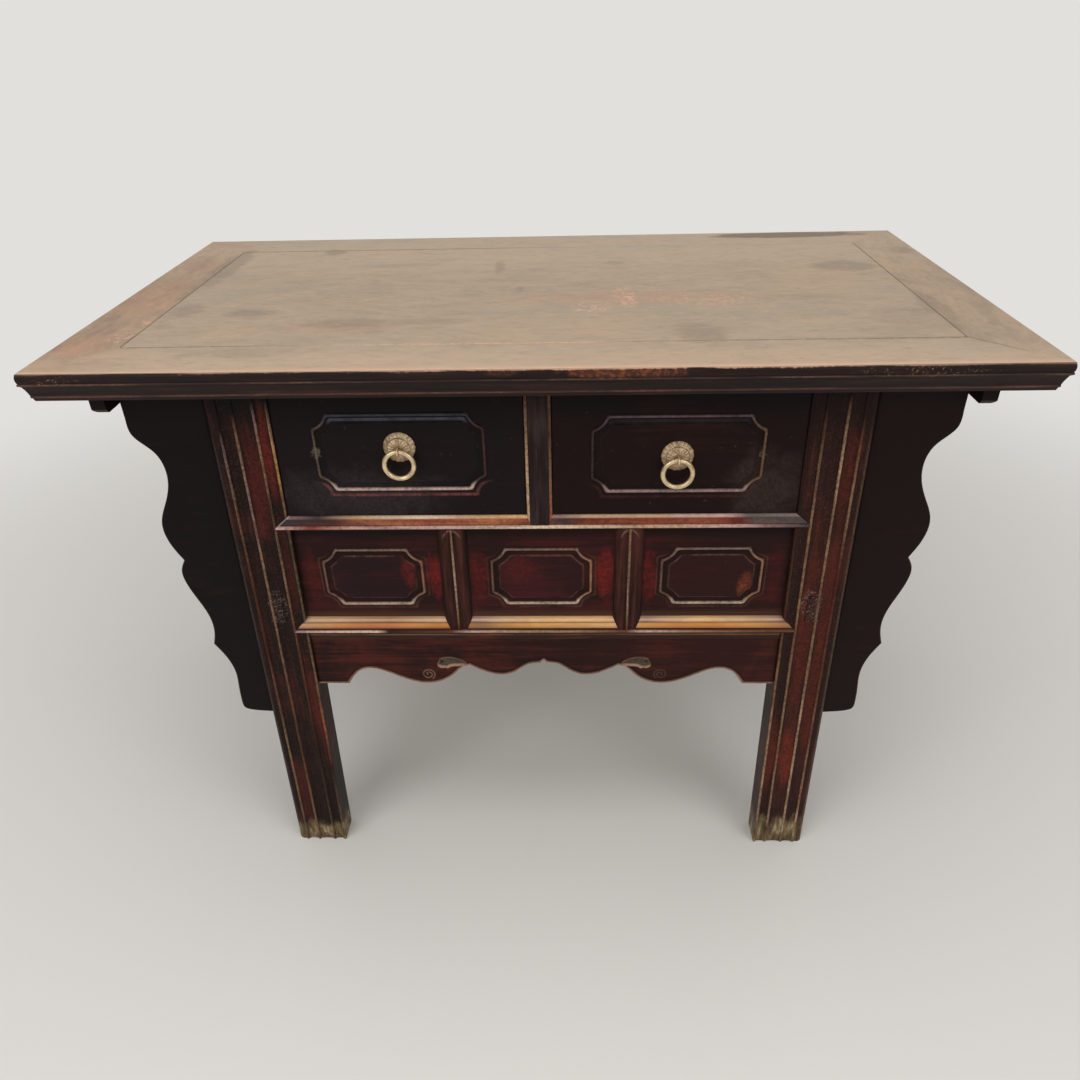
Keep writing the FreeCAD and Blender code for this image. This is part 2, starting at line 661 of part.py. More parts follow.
def cartouche(centre, width, height, face):
    """Raised bead round a cartouche, and the low raised field inside it."""
    half_width, half_height = width / 2, height / 2
    root = face + CARTOUCHE_BEAD_RISE

    def level(inset_share, rise_share, flip):
        inset = CARTOUCHE_BEAD_WIDTH * (1 - inset_share if flip else inset_share)
        return cartouche_wire(centre, half_width, half_height, inset,
                              face - CARTOUCHE_BEAD_RISE * rise_share)

    def mound(flip):
        wires = [level(*shares, flip) for shares in CARTOUCHE_BEAD_SHARES]
        base_inset = CARTOUCHE_BEAD_WIDTH if flip else 0
        base = cartouche_wire(centre, half_width, half_height, base_inset, root)
        return Part.makeLoft([base] + wires, True, True)

    field_edges = [(CARTOUCHE_FIELD_INSET, root),
                   (CARTOUCHE_FIELD_INSET, face),
                   (CARTOUCHE_FIELD_INSET + CARTOUCHE_FIELD_RISE, face - CARTOUCHE_FIELD_RISE)]
    field = Part.makeLoft([cartouche_wire(centre, half_width, half_height, *edge)
                           for edge in field_edges], True, True)
    return [mound(False).cut(mound(True)), field]


# Panels

def framed_panel(corners_at, low, high, face, thickness, tongue_set):
    """A panel with a tongue all round. corners_at gives its two sides at a height and a growth."""
    def board(growth, front, back):
        z_low, z_high = low - growth, high + growth
        left_low, right_low = corners_at(z_low, growth)
        left_high, right_high = corners_at(z_high, growth)
        return slab([(left_low, z_low), (right_low, z_low), (right_high, z_high),
                     (left_high, z_high)], front, back)

    tongue_front = face + tongue_set
    tongue = board(PANEL_TONGUE, tongue_front, tongue_front + PANEL_TONGUE_THICKNESS)
    return board(0, face, face + thickness).fuse(tongue)


def front_panel(left_at, right_at, centre_x):
    """A front panel with its cartouche."""
    def sides(z, growth):
        return left_at(z) - growth, right_at(z) + growth

    panel = framed_panel(sides, PANEL_FLOOR, PANEL_TOP, PANEL_FACE, PANEL_THICKNESS,
                         PANEL_TONGUE_SET)
    centre = (centre_x, (PANEL_FLOOR + PANEL_TOP) / 2 - PANEL_CARTOUCHE_DROP)
    return panel.fuse(cartouche(centre, PANEL_CARTOUCHE_WIDTH, PANEL_CARTOUCHE_HEIGHT, PANEL_FACE))


def middle_panel():
    """Panel between the mullions."""
    reach = MULLION_REACH - MULLION_WIDTH / 2
    return front_panel(lambda z: -reach, lambda z: reach, 0)


def side_front_panel():
    """Panel between the right-hand mullion and the leg."""
    start = MULLION_REACH + MULLION_WIDTH / 2
    middle = (start + leg_inner((PANEL_FLOOR + PANEL_TOP) / 2)) / 2
    return front_panel(lambda z: start, leg_inner, middle - PANEL_CARTOUCHE_SHIFT)


def front_apron():
    """Apron with a scalloped lower edge and a small peak in the middle."""
    half = leg_inner(LOWER_RAIL_FOOT - APRON_DROP)

    def spot(shares):
        return (half * shares[0], LOWER_RAIL_FOOT - APRON_DROP * shares[1])

    def flip(points):
        return [(-x, z) for x, z in points]

    face = FRONT + APRON_RECESS
    middle = [spot(shares) for shares in APRON_MIDDLE_SHARES]
    lobe = [spot(shares) for shares in APRON_LOBE_SHARES]
    corner = leg_inner(LOWER_RAIL_FOOT)
    outline = Outline(plane_xz(face), spot(APRON_PEAK_SHARES)).line(middle[0])
    outline.curve(middle[1:]).curve(lobe)
    outline.line((half, lobe[-1][1]), (corner, LOWER_RAIL_FOOT), (-corner, LOWER_RAIL_FOOT),
                 (-half, lobe[-1][1]))
    outline.line(flip(lobe)[-1])
    outline.curve(flip(lobe[:-1][::-1]) + flip(middle)[-1:])
    outline.curve(flip(middle[:-1][::-1]))
    board = outline.solid(V(0, APRON_THICKNESS, 0))
    front = face + (APRON_THICKNESS - APRON_TONGUE_THICKNESS) / 2
    tongue_y = (front, front + APRON_TONGUE_THICKNESS)
    head = block((-corner, corner), tongue_y, (LOWER_RAIL_FOOT, LOWER_RAIL_FOOT + APRON_TONGUE))
    end = block((corner - APRON_TONGUE, half + APRON_TONGUE), tongue_y,
                (lobe[-1][1] + APRON_TONGUE, LOWER_RAIL_FOOT))
    return board.fuse([head] + both_sides(end))


# Spandrels

def spandrel():
    """Right-hand front spandrel: a board with a scalloped outer edge."""
    corner = leg_outer(UNDER_TOP)

    def spot(shares):
        return (corner + SPANDREL_REACH * shares[0], UNDER_TOP - SPANDREL_DROP * shares[1])

    foot = UNDER_TOP - SPANDREL_DROP
    inner = -SPANDREL_TONGUE
    outline = Outline(plane_xz(FRONT + SPANDREL_RECESS), (corner + inner, UNDER_TOP))
    outline.line(spot((1, 0)), spot((1, SPANDREL_STRAIGHT_SHARE)))
    outline.curve([spot(shares) for shares in SPANDREL_HEAD_SHARES])
    outline.curve([spot(shares) for shares in SPANDREL_WAIST_SHARES])
    outline.curve([spot(shares) for shares in SPANDREL_TAIL_SHARES])
    outline.curve([spot(shares) for shares in SPANDREL_TOE_SHARES])
    outline.line((leg_outer(foot) + inner, foot))
    return outline.solid(V(0, SPANDREL_THICKNESS, 0))


# Side frames

def side_bar(low, high, thickness, y_low, y_high):
    """A bar along Y that leans with the right-hand legs."""
    half = thickness / 2
    corners = [(leg_middle(low) - half, low), (leg_middle(low) + half, low),
               (leg_middle(high) + half, high), (leg_middle(high) - half, high)]
    return slab(corners, y_low, y_high)


def side_rail(low, high, tenon_reach):
    """Right-hand side rail between the legs, with tenons out to a given y."""
    bar = side_bar(low, high, SIDE_RAIL_THICKNESS, LEG_BACK, REAR_INNER)
    return bar.fuse(side_bar(low, high, SIDE_TENON_THICKNESS, -tenon_reach, tenon_reach))


def side_panel(low, high):
    """Right-hand side panel with a tongue all round."""
    body = side_bar(low, high, SIDE_PANEL_THICKNESS, LEG_BACK, REAR_INNER)
    tongue = side_bar(low - PANEL_TONGUE, high + PANEL_TONGUE, PANEL_TONGUE_THICKNESS,
                      LEG_BACK - PANEL_TONGUE, REAR_INNER + PANEL_TONGUE)
    return body.fuse(tongue)


# Back frame

def rear_rail(low, high):
    """Plain back rail between the rear legs."""
    face = REAR_FACE - REAR_RAIL_RECESS
    body = slab(rail_body_corners(low, high), face - REAR_RAIL_THICKNESS, face)
    tenon_front = face - (REAR_RAIL_THICKNESS + RAIL_TENON_THICKNESS) / 2
    return body.fuse(rail_tenons(low, high, tenon_front, RAIL_TENON_THICKNESS, RAIL_TENON))


def rear_panel(low, high):
    """Plain back panel with a tongue all round."""
    def sides(z, growth):
        return -leg_inner(z) - growth, leg_inner(z) + growth

    face = REAR_FACE - REAR_PANEL_RECESS - PANEL_THICKNESS
    tongue_set = (PANEL_THICKNESS - PANEL_TONGUE_THICKNESS) / 2
    return framed_panel(sides, low, high, face, PANEL_THICKNESS, tongue_set)


# Legs

def front_leg():
    """Right-hand front leg with its beads, before its mortises are cut."""
    inner = leg_inner(0)
    far = LEG_WIDTH - LEG_ROUND
    bend = LEG_ROUND * (1 - math.sqrt(0.5))
    centres = [BEAD_RADIUS] + [share * LEG_WIDTH for share in LEG_BEAD_SHARES]
    section = Outline(lambda u, d: V(inner + u, FRONT + d, 0), (0, LEG_DEPTH))
    section.line((0, BEAD_RISE))
    bead_run(section, 0, centres)
    section.line((far, BEAD_RISE))
    section.arc((LEG_WIDTH - bend, BEAD_RISE + bend), (LEG_WIDTH, BEAD_RISE + LEG_ROUND))
    section.line((LEG_WIDTH, LEG_DEPTH))
    return leg_with_tenon(section, FRONT)


def rear_leg():
    """Right-hand rear leg, plain with eased corners, before its mortises are cut."""
    inner, outer = leg_inner(0), leg_outer(0)
    ease = REAR_LEG_ROUND
    bend = ease * (1 - math.sqrt(0.5))
    section = Outline(plane_xy(0), (inner, REAR_INNER)).line((outer, REAR_INNER))
    section.line((outer, REAR_FACE - ease))
    section.arc((outer - bend, REAR_FACE - bend), (outer - ease, REAR_FACE))
    section.line((inner + ease, REAR_FACE))
    section.arc((inner + bend, REAR_FACE - bend), (inner, REAR_FACE - ease))
    return leg_with_tenon(section, REAR_INNER)


def leg_with_tenon(section, front):
    """A leg's section carried up along its lean, with a tenon into the top frame."""
    lean = V(leg_inner(UNDER_TOP) - leg_inner(0), 0, UNDER_TOP)
    middle_x = leg_middle(UNDER_TOP)
    middle_y = front + LEG_DEPTH / 2
    half_width, half_thickness = LEG_TENON_WIDTH / 2, LEG_TENON_THICKNESS / 2
    tenon = block((middle_x - half_width, middle_x + half_width),
                  (middle_y - half_thickness, middle_y + half_thickness),
                  (UNDER_TOP - LEG_TENON_HEIGHT, UNDER_TOP + LEG_TENON_HEIGHT))
    return section.solid(lean).fuse(tenon)


# Compartment floor and drawer runners

def compartment_floor():
    """Two floor boards under the side rails, housed in the front and back lower rails."""
    low, high = SIDE_LOWER_FOOT - FLOOR_THICKNESS, SIDE_LOWER_FOOT
    side_reach = leg_middle(SIDE_LOWER_FOOT) - SIDE_RAIL_THICKNESS / 2 + FLOOR_LAP
    rail_reach = leg_inner(high) - FLOOR_CLEARANCE
    rear_rail_front = REAR_FACE - REAR_RAIL_RECESS - REAR_RAIL_THICKNESS
    boards = block((-side_reach, side_reach),
                   (LEG_BACK + FLOOR_CLEARANCE, REAR_INNER - FLOOR_CLEARANCE), (low, high))
    boards = boards.fuse(block((-rail_reach, rail_reach),
                               (RAIL_BACK - FLOOR_TONGUE, rear_rail_front + FLOOR_TONGUE),
                               (low, high)))
    seam = block((-side_reach, side_reach), (-FLOOR_SEAM / 2, FLOOR_SEAM / 2), (low, high))
    return boards.cut(seam)


def centre_runner():
    """Runner between the drawers, with a ridge that guides both."""
    half = GUIDE_WIDTH / 2 + RUNNER_LAP
    rear_rail_front = REAR_FACE - REAR_RAIL_RECESS - REAR_RAIL_THICKNESS
    low = DRAWER_FLOOR - RUNNER_HEIGHT
    ridge = DRAWER_FLOOR + GUIDE_HEIGHT
    section = about_middle([(half, low), (half, DRAWER_FLOOR), (GUIDE_WIDTH / 2, DRAWER_FLOOR),
                            (GUIDE_WIDTH / 2, ridge)])
    bar = slab(section, RAIL_BACK, rear_rail_front)
    tenon_top = DRAWER_FLOOR - RUNNER_TENON_DROP
    tenon = block((-RUNNER_TENON_WIDTH / 2, RUNNER_TENON_WIDTH / 2),
                  (RAIL_BACK - RUNNER_TENON, rear_rail_front + RUNNER_TENON),
                  (tenon_top - RUNNER_TENON_HEIGHT, tenon_top))
    return bar.fuse(tenon)


def side_runner():
    """Right-hand runner, fixed along the inner face of the side's middle rail."""
    low = DRAWER_FLOOR - RUNNER_HEIGHT
    inner = drawer_outer_face() - DRAWER_SIDE_THICKNESS - RUNNER_LAP / 2
    half = SIDE_RAIL_THICKNESS / 2
    corners = [(inner, low), (leg_middle(low) - half, low),
               (leg_middle(DRAWER_FLOOR) - half, DRAWER_FLOOR), (inner, DRAWER_FLOOR)]
    return slab(corners, LEG_BACK, REAR_INNER)


# Drawers

def drawer_inner_face():
    """Reach of the box side next to the guide."""
    return GUIDE_WIDTH / 2 + GUIDE_GAP


def drawer_outer_face():
    """Reach of the outer face of the box side next to the legs."""
    return leg_inner(UNDER_TOP) - DRAWER_BOX_GAP


def drawer_levels():
    """Foot and head of the drawer's sides."""
    low = DRAWER_FLOOR + DRAWER_RUN_GAP
    return low, low + DRAWER_SIDE_HEIGHT


def drawer_end():
    """y of the drawer's back edge, just short of the back panel that stops it."""
    return REAR_FACE - REAR_PANEL_RECESS - PANEL_THICKNESS - DRAWER_STOP_GAP


def front_centre():
    """Middle (x, z) of the right-hand drawer front."""
    high, low = DRAWER_TOP - DRAWER_TOP_GAP, DRAWER_FLOOR + DRAWER_RUN_GAP
    middle = (low + high) / 2
    left = POST_WIDTH / 2 + DRAWER_SIDE_GAP
    return ((left + leg_inner(middle) - DRAWER_SIDE_GAP) / 2, middle)


def drawer_front(side):
    """One drawer's front with its cartouche, its outer end following the leg."""
    high, low = DRAWER_TOP - DRAWER_TOP_GAP, DRAWER_FLOOR + DRAWER_RUN_GAP
    left = POST_WIDTH / 2 + DRAWER_SIDE_GAP
    corners = [(left, low), (leg_inner(low) - DRAWER_SIDE_GAP, low),
               (leg_inner(high) - DRAWER_SIDE_GAP, high), (left, high)]
    board = slab(corners, DRAWER_FACE, DRAWER_BACK_OF_FRONT)
    x, z = front_centre()
    return board.fuse(cartouche((x, z + DRAWER_CARTOUCHE_RAISES[side]), DRAWER_CARTOUCHE_WIDTH,
                                DRAWER_CARTOUCHE_HEIGHT, DRAWER_FACE))


def drawer_side(x_span):
    """A drawer side with dovetails that run into the front's back."""
    low, high = drawer_levels()
    root, tip = DRAWER_BACK_OF_FRONT, DRAWER_BACK_OF_FRONT - DOVETAIL_LENGTH
    board = block(x_span, (root, drawer_end()), (low, high))
    pitch = DRAWER_SIDE_HEIGHT / DOVETAIL_COUNT
    half = pitch * DOVETAIL_FILL_SHARE / 2
    tails = []
    for number in range(DOVETAIL_COUNT):
        middle = low + pitch * (number + 0.5)
        corners = [(root, middle - half), (tip, middle - half - DOVETAIL_FLARE),
                   (tip, middle + half + DOVETAIL_FLARE), (root, middle + half)]
        tail = Outline(plane_yz(x_span[0]), corners[0]).line(*corners[1:])
        tails.append(tail.solid(V(x_span[1] - x_span[0], 0, 0)))
    return board.fuse(tails)


def drawer_sides():
    """The guide side and the leg side of the right-hand drawer."""
    inner, outer = drawer_inner_face(), drawer_outer_face()
    return (drawer_side((inner, inner + DRAWER_SIDE_THICKNESS)),
            drawer_side((outer - DRAWER_SIDE_THICKNESS, outer)))


def drawer_bottom():
    """Bottom board, housed in the front and both sides."""
    low = drawer_levels()[0] + DRAWER_BOTTOM_RAISE
    inner = drawer_inner_face() + DRAWER_SIDE_THICKNESS - DRAWER_GROOVE
    outer = drawer_outer_face() - DRAWER_SIDE_THICKNESS + DRAWER_GROOVE
    return block((inner, outer), (DRAWER_BACK_OF_FRONT - DRAWER_GROOVE, drawer_end()),
                 (low, low + DRAWER_BOTTOM_THICKNESS))


def drawer_back():
    """Back board, standing on the bottom and housed in both sides."""
    low, high = drawer_levels()
    floor = low + DRAWER_BOTTOM_RAISE + DRAWER_BOTTOM_THICKNESS
    inner = drawer_inner_face() + DRAWER_SIDE_THICKNESS - DRAWER_GROOVE
    outer = drawer_outer_face() - DRAWER_SIDE_THICKNESS + DRAWER_GROOVE
    end = drawer_end() - DRAWER_SIDE_THICKNESS
    return block((inner, outer), (end - DRAWER_SIDE_THICKNESS, end), (floor, high - DRAWER_BACK_DROP))


# Pulls

def pull_spot(side):
    """Where a pull's axis meets the drawer front, as (x, z) on the right."""
    x, z = front_centre()
    return x, z + PULL_RAISES[side]


def rosette(spot):
    """Domed backplate with a hole for the cotter."""
    x, z = spot
    wide_share, high_share = ROSETTE_SHOULDER_SHARES
    inner_radius = ROSETTE_RADIUS - ROSETTE_WALL
    inner_height = ROSETTE_HEIGHT - ROSETTE_WALL
    outline = Outline(lambda r, h: V(x + r, DRAWER_FACE - h, z), (ROSETTE_RADIUS, 0))
    outline.arc((ROSETTE_RADIUS * wide_share, ROSETTE_HEIGHT * high_share),
                (ROSETTE_HOLE_RADIUS, ROSETTE_HEIGHT))
    outline.line((ROSETTE_HOLE_RADIUS, inner_height))
    outline.arc((inner_radius * wide_share, inner_height * high_share), (inner_radius, 0))
    face = Part.Face(outline.wire())
    return face.revolve(V(x, DRAWER_FACE, z), V(0, 1, 0), 360)


def eye_radius():
    """Radius of the eye's wire centre line."""
    return RING_WIRE_RADIUS + EYE_GAP + EYE_WIRE_RADIUS


def eye_level():
    """y of the eye's centre: the eye sits on the rim of the rosette's hole."""
    seat = math.sqrt((eye_radius() + EYE_WIRE_RADIUS) ** 2 - ROSETTE_HOLE_RADIUS ** 2)
    return DRAWER_FACE - ROSETTE_HEIGHT - seat - EYE_SEAT_GAP


def cotter(spot):
    """Cotter: an eye in front, a stem through the front, and two ends bent flat behind it."""
    x, z = spot
    eye_y = eye_level()
    eye = Part.makeTorus(eye_radius(), EYE_WIRE_RADIUS, V(x, eye_y, z), V(1, 0, 0))
    stem_start = eye_y + eye_radius()
    stem_end = DRAWER_BACK_OF_FRONT + 2 * EYE_WIRE_RADIUS
    stem = Part.makeCylinder(COTTER_STEM_RADIUS, stem_end - stem_start, V(x, stem_start, z),
                             V(0, 1, 0))
    end = Part.makeCylinder(EYE_WIRE_RADIUS, 2 * COTTER_END,
                            V(x, DRAWER_BACK_OF_FRONT + EYE_WIRE_RADIUS, z - COTTER_END),
                            V(0, 0, 1))
    return eye.fuse([stem, end])


def pull_ring(spot):
    """Round ring that hangs in the eye, split where it passes through."""
    x, z = spot
    eye_y = eye_level()
    ring = Part.makeTorus(RING_RADIUS, RING_WIRE_RADIUS, V(x, eye_y, z - RING_RADIUS), V(0, 1, 0))
    half = RING_SPLIT / 2
    reach = RING_WIRE_RADIUS + EYE_GAP
    return ring.cut(block((x - half, x + half), (eye_y - reach, eye_y + reach),
                          (z - reach, z + reach)))


def drawer_pieces(side):
    """Every piece of one drawer, built on the right and mirrored for the left."""
    spot = pull_spot(side)
    bottom = drawer_bottom()
    back = drawer_back()
    sides = [board.cut([bottom, back]) for board in drawer_sides()]
    bore = Part.makeCylinder(COTTER_STEM_RADIUS + COTTER_BORE_GAP, DRAWER_FRONT_THICKNESS,
                             V(spot[0], DRAWER_FACE, spot[1]), V(0, 1, 0))
    field_bore = bore.translated(V(0, -CARTOUCHE_FIELD_RISE - CUT_OVERRUN, 0))
    seat = Part.makeCylinder(ROSETTE_RADIUS, CARTOUCHE_FIELD_RISE + CUT_OVERRUN,
                             V(spot[0], DRAWER_FACE - CARTOUCHE_FIELD_RISE - CUT_OVERRUN, spot[1]),
                             V(0, 1, 0))
    front = drawer_front(side).cut([bottom, bore, field_bore, seat] + sides)
    pieces = {"front": front, "guide_side": sides[0], "outer_side": sides[1], "back": back,
              "bottom": bottom, "rosette": rosette(spot), "cotter": cotter(spot),
              "pull_ring": pull_ring(spot)}
    if side == "left":
        pieces = {name: mirrored(shape) for name, shape in pieces.items()}
    return {"drawer_" + side + "_" + name: shape for name, shape in pieces.items()}


# Assembly: each piece is cut to receive the ones that fit into it

def case_pieces():
    """Every fixed piece under the top."""
    drawer_bar, lower_bar, top_bar = drawer_rail(), lower_rail(), front_top_rail()
    post, upright = drawer_post(), mullion()
    panels = [middle_panel()] + both_sides(side_front_panel())
    apron, bracket = front_apron(), spandrel()
    runner, edge_runner, floor = centre_runner(), side_runner(), compartment_floor()
    inner_reach = -LEG_BACK + SIDE_TENON
    side_rails = {"top": side_rail(UNDER_TOP - SIDE_TOP_RAIL_HEIGHT, UNDER_TOP, inner_reach),
                  "middle": side_rail(DRAWER_FLOOR - SIDE_MIDDLE_RAIL_HEIGHT, DRAWER_FLOOR,
                                      inner_reach),
                  "lower": side_rail(SIDE_LOWER_FOOT, SIDE_LOWER_HEAD,
                                     REAR_FACE - THROUGH_TENON_SET)}
    side_panels = {"upper": side_panel(DRAWER_FLOOR, UNDER_TOP - SIDE_TOP_RAIL_HEIGHT),
                   "lower": side_panel(SIDE_LOWER_HEAD, DRAWER_FLOOR - SIDE_MIDDLE_RAIL_HEIGHT)}
    rear_middle = rear_rail(DRAWER_FLOOR - REAR_MIDDLE_RAIL_HEIGHT, DRAWER_FLOOR)
    rear_lower = rear_rail(LOWER_RAIL_FOOT, PANEL_FLOOR)
    rear_panels = {"upper": rear_panel(DRAWER_FLOOR, UNDER_TOP),
                   "lower": rear_panel(PANEL_FLOOR, DRAWER_FLOOR - REAR_MIDDLE_RAIL_HEIGHT)}

    uprights = both_sides(upright)
    side_mates = list(side_rails.values()) + list(side_panels.values())
    front_mates = [panels[1], apron, bracket, shoulder_room(DRAWER_FLOOR, DRAWER_RAIL_BEAD),
                   shoulder_room(PANEL_FLOOR, LOWER_RAIL_BEAD)]
    for low, high in ((DRAWER_TOP, UNDER_TOP), (PANEL_TOP, DRAWER_FLOOR),
                      (LOWER_RAIL_FOOT, PANEL_FLOOR)):
        front_mates += front_rail_tenons(low, high)
    rear_mates = [rear_middle, rear_lower, turned_back(bracket)] + list(rear_panels.values())
    post_room = slab(post_tongue_corners(), FRONT - CUT_OVERRUN, SHOULDER_BACK)
    panel_list = list(side_panels.values())

    right = {"leg_front": front_leg().cut(front_mates + side_mates),
             "leg_rear": rear_leg().cut(rear_mates + side_mates),
             "spandrel_front": bracket, "spandrel_rear": turned_back(bracket),
             "mullion": upright.cut(panels), "front_panel": panels[1],
             "side_runner": edge_runner,
             "side_top_rail": side_rails["top"].cut(panel_list),
             "side_middle_rail": side_rails["middle"].cut(panel_list),
             "side_lower_rail": side_rails["lower"].cut(panel_list),
             "side_upper_panel": side_panels["upper"], "side_lower_panel": side_panels["lower"]}
    pieces = {name + "_right": shape for name, shape in right.items()}
    pieces.update({name + "_left": mirrored(shape) for name, shape in right.items()})
    pieces["front_top_rail"] = top_bar.cut(post)
    pieces["drawer_post"] = post
    pieces["drawer_rail"] = drawer_bar.cut([post, post_room, runner] + uprights + panels)
    pieces["front_lower_rail"] = lower_bar.cut(uprights + panels + [apron, floor]
                                               + both_sides(mullion_tongue_room()))
    pieces["front_panel_middle"] = panels[0]
    pieces["front_apron"] = apron
    pieces["rear_middle_rail"] = rear_middle.cut(list(rear_panels.values()) + [runner])
    pieces["rear_lower_rail"] = rear_lower.cut([rear_panels["lower"], floor])
    pieces["rear_upper_panel"] = rear_panels["upper"]
    pieces["rear_lower_panel"] = rear_panels["lower"]
    pieces["centre_runner"] = runner
    pieces["compartment_floor"] = floor
    return pieces


def top_pieces(case):
    """Every piece of the top, mortised for the legs and the back panel."""
    battens = both_sides(top_batten())
    legs = [shape for name, shape in case.items() if name.startswith("leg_")]
    groove = top_panel_tongue(TOP_PANEL_SEAM)
    front = top_long_rail()
    rear = turned_back(front)
    end = top_end_rail().cut([front, rear, groove])
    mates = legs + battens + [groove]
    return {"top_front_rail": front.cut(mates),
            "top_rear_rail": rear.cut(mates + [case["rear_upper_panel"]]),
            "top_end_rail_right": end, "top_end_rail_left": mirrored(end),
            "top_panel": top_panel().cut(battens),
            "top_battens": Part.makeCompound(battens),
            "end_battens": Part.makeCompound(both_sides(end_batten()))}


def write(name, shape):
    """Writes one piece's solids to its own file."""
    solids = shape.Solids
    piece = solids[0] if len(solids) == 1 else Part.makeCompound(solids)
    piece.exportStep("parts/" + name + ".step")
    print(name, len(solids), round(piece.Volume), piece.isValid())


os.makedirs("parts", exist_ok=True)
table = case_pieces()
table.update(top_pieces(table))
for drawer in ("left", "right"):
    table.update(drawer_pieces(drawer))
for node, piece_shape in sorted(table.items()):
    write(node, piece_shape)
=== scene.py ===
import bpy
import math
import numpy as np
from mathutils import Matrix, Vector


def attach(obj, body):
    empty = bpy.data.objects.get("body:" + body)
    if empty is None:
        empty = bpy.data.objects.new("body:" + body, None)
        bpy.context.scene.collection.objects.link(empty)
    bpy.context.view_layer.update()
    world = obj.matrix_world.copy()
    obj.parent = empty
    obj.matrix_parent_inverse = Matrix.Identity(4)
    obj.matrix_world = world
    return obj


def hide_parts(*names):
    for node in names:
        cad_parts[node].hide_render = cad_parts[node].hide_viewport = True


# Metres, in the table's own frame: X to the right, Y to the back, Z up, the floor at Z = 0.
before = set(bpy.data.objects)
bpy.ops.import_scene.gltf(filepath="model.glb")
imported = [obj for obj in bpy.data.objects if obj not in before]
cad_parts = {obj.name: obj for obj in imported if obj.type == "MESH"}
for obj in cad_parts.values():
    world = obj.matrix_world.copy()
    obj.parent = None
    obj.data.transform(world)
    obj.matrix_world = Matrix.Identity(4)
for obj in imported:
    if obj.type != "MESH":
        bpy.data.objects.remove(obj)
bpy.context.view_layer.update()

MM = 0.001
TOP = 0.796
UNDER_TOP = 0.762
TOP_HALF_LENGTH = 0.553
TOP_HALF_DEPTH = 0.300
JOINT_X = 0.473
JOINT_Y = 0.220
FRONT = -0.258
DRAWER_FACE = -0.255
DRAWER_FLOOR = 0.594
PANEL_TOP = 0.574
PANEL_FLOOR = 0.437
MULLION_X = 0.110
MULLION_WIDTH = 0.0365
RAIL_FOOT = 0.402
APRON_FACE = -0.252
APRON_DROP = 0.080
SPANDREL_FACE = -0.245
SPANDREL_REACH = 0.100
SPANDREL_DROP = 0.500
BOARD_THICKNESS = 0.016
LEG_WIDTH = 0.075
LEG_FOOT_REACH = 0.3955
LEG_SPLAY = 0.017
DRAWER_MIDDLE = 0.67155
PULL_X = 0.160509
PULL_Z = {"left": DRAWER_MIDDLE + 14.0 * MM, "right": DRAWER_MIDDLE}
EYE_Y = -0.2677828638
SIDES = (("left", -1), ("right", 1))


def leg_outer(z):
    """Reach of a leg's outer face at height z."""
    return LEG_FOOT_REACH - LEG_SPLAY * z / UNDER_TOP


# Finishes

def tone(colour):
    """Makes a colour of (red, green, blue) steps from 0 to 255 linear; what is linear already, a
    node's colour or four numbers, comes back as it is."""
    if isinstance(colour, Value) or len(colour) == 4:
        return colour

    def linear(step):
        share = step / 255
        return share / 12.92 if share <= 0.04045 else ((share + 0.055) / 1.055) ** 2.4
    return tuple(linear(step) for step in colour) + (1.0,)


class Value:
    """One output of a finish; arithmetic on it adds Math nodes."""

    def __init__(self, finish, socket):
        self.finish = finish
        self.socket = socket

    def math(self, operation, *others):
        """A Math node on these values, in their order."""
        return self.finish.add("ShaderNodeMath", {"operation": operation}, dict(enumerate(others)))

    def __add__(self, other):
        return self.math("ADD", self, other)

    def __sub__(self, other):
        return self.math("SUBTRACT", self, other)

    def __mul__(self, other):
        return self.math("MULTIPLY", self, other)

    def __truediv__(self, other):
        return self.math("DIVIDE", self, other)

    def __rsub__(self, other):
        return self.math("SUBTRACT", other, self)

    __radd__ = __add__
    __rmul__ = __mul__

    def __abs__(self):
        return self.math("ABSOLUTE", self)

    def root(self):
        """Square root."""
        return self.math("SQRT", self)

    def least(self, other):
        """The smaller of two values."""
        return self.math("MINIMUM", self, other)

    def soft_least(self, other, reach):
        """The smaller of two values, blended where they differ by less than reach."""
        return self.math("SMOOTH_MIN", self, other, reach)

    def most(self, other):
        """The larger of two values."""
        return self.math("MAXIMUM", self, other)

    def rise(self, low, high):
        """Goes smoothly from 0 at low to 1 at high."""
        settings = {"interpolation_type": "SMOOTHSTEP"}
        return self.finish.add("ShaderNodeMapRange", settings, {0: self, 1: low, 2: high})

    def fall(self, low, high):
        """Goes smoothly from 1 at low to 0 at high."""
        settings = {"interpolation_type": "SMOOTHSTEP"}
        return self.finish.add("ShaderNodeMapRange", settings,
                               {0: self, 1: low, 2: high, 3: 1.0, 4: 0.0})

    def near(self, centre, reach):
        """Is 1 at centre and smoothly 0 past reach on both sides."""
        return abs(self - centre).fall(0.0, reach)

    def within(self, low, high, soft):
        """Is 1 between low and high, with limits as wide as twice soft."""
        return self.rise(low - soft, low + soft) * self.fall(high - soft, high + soft)


ALONG = {"x": (1, 14, 14), "y": (14, 1, 14), "z": (14, 14, 1)}


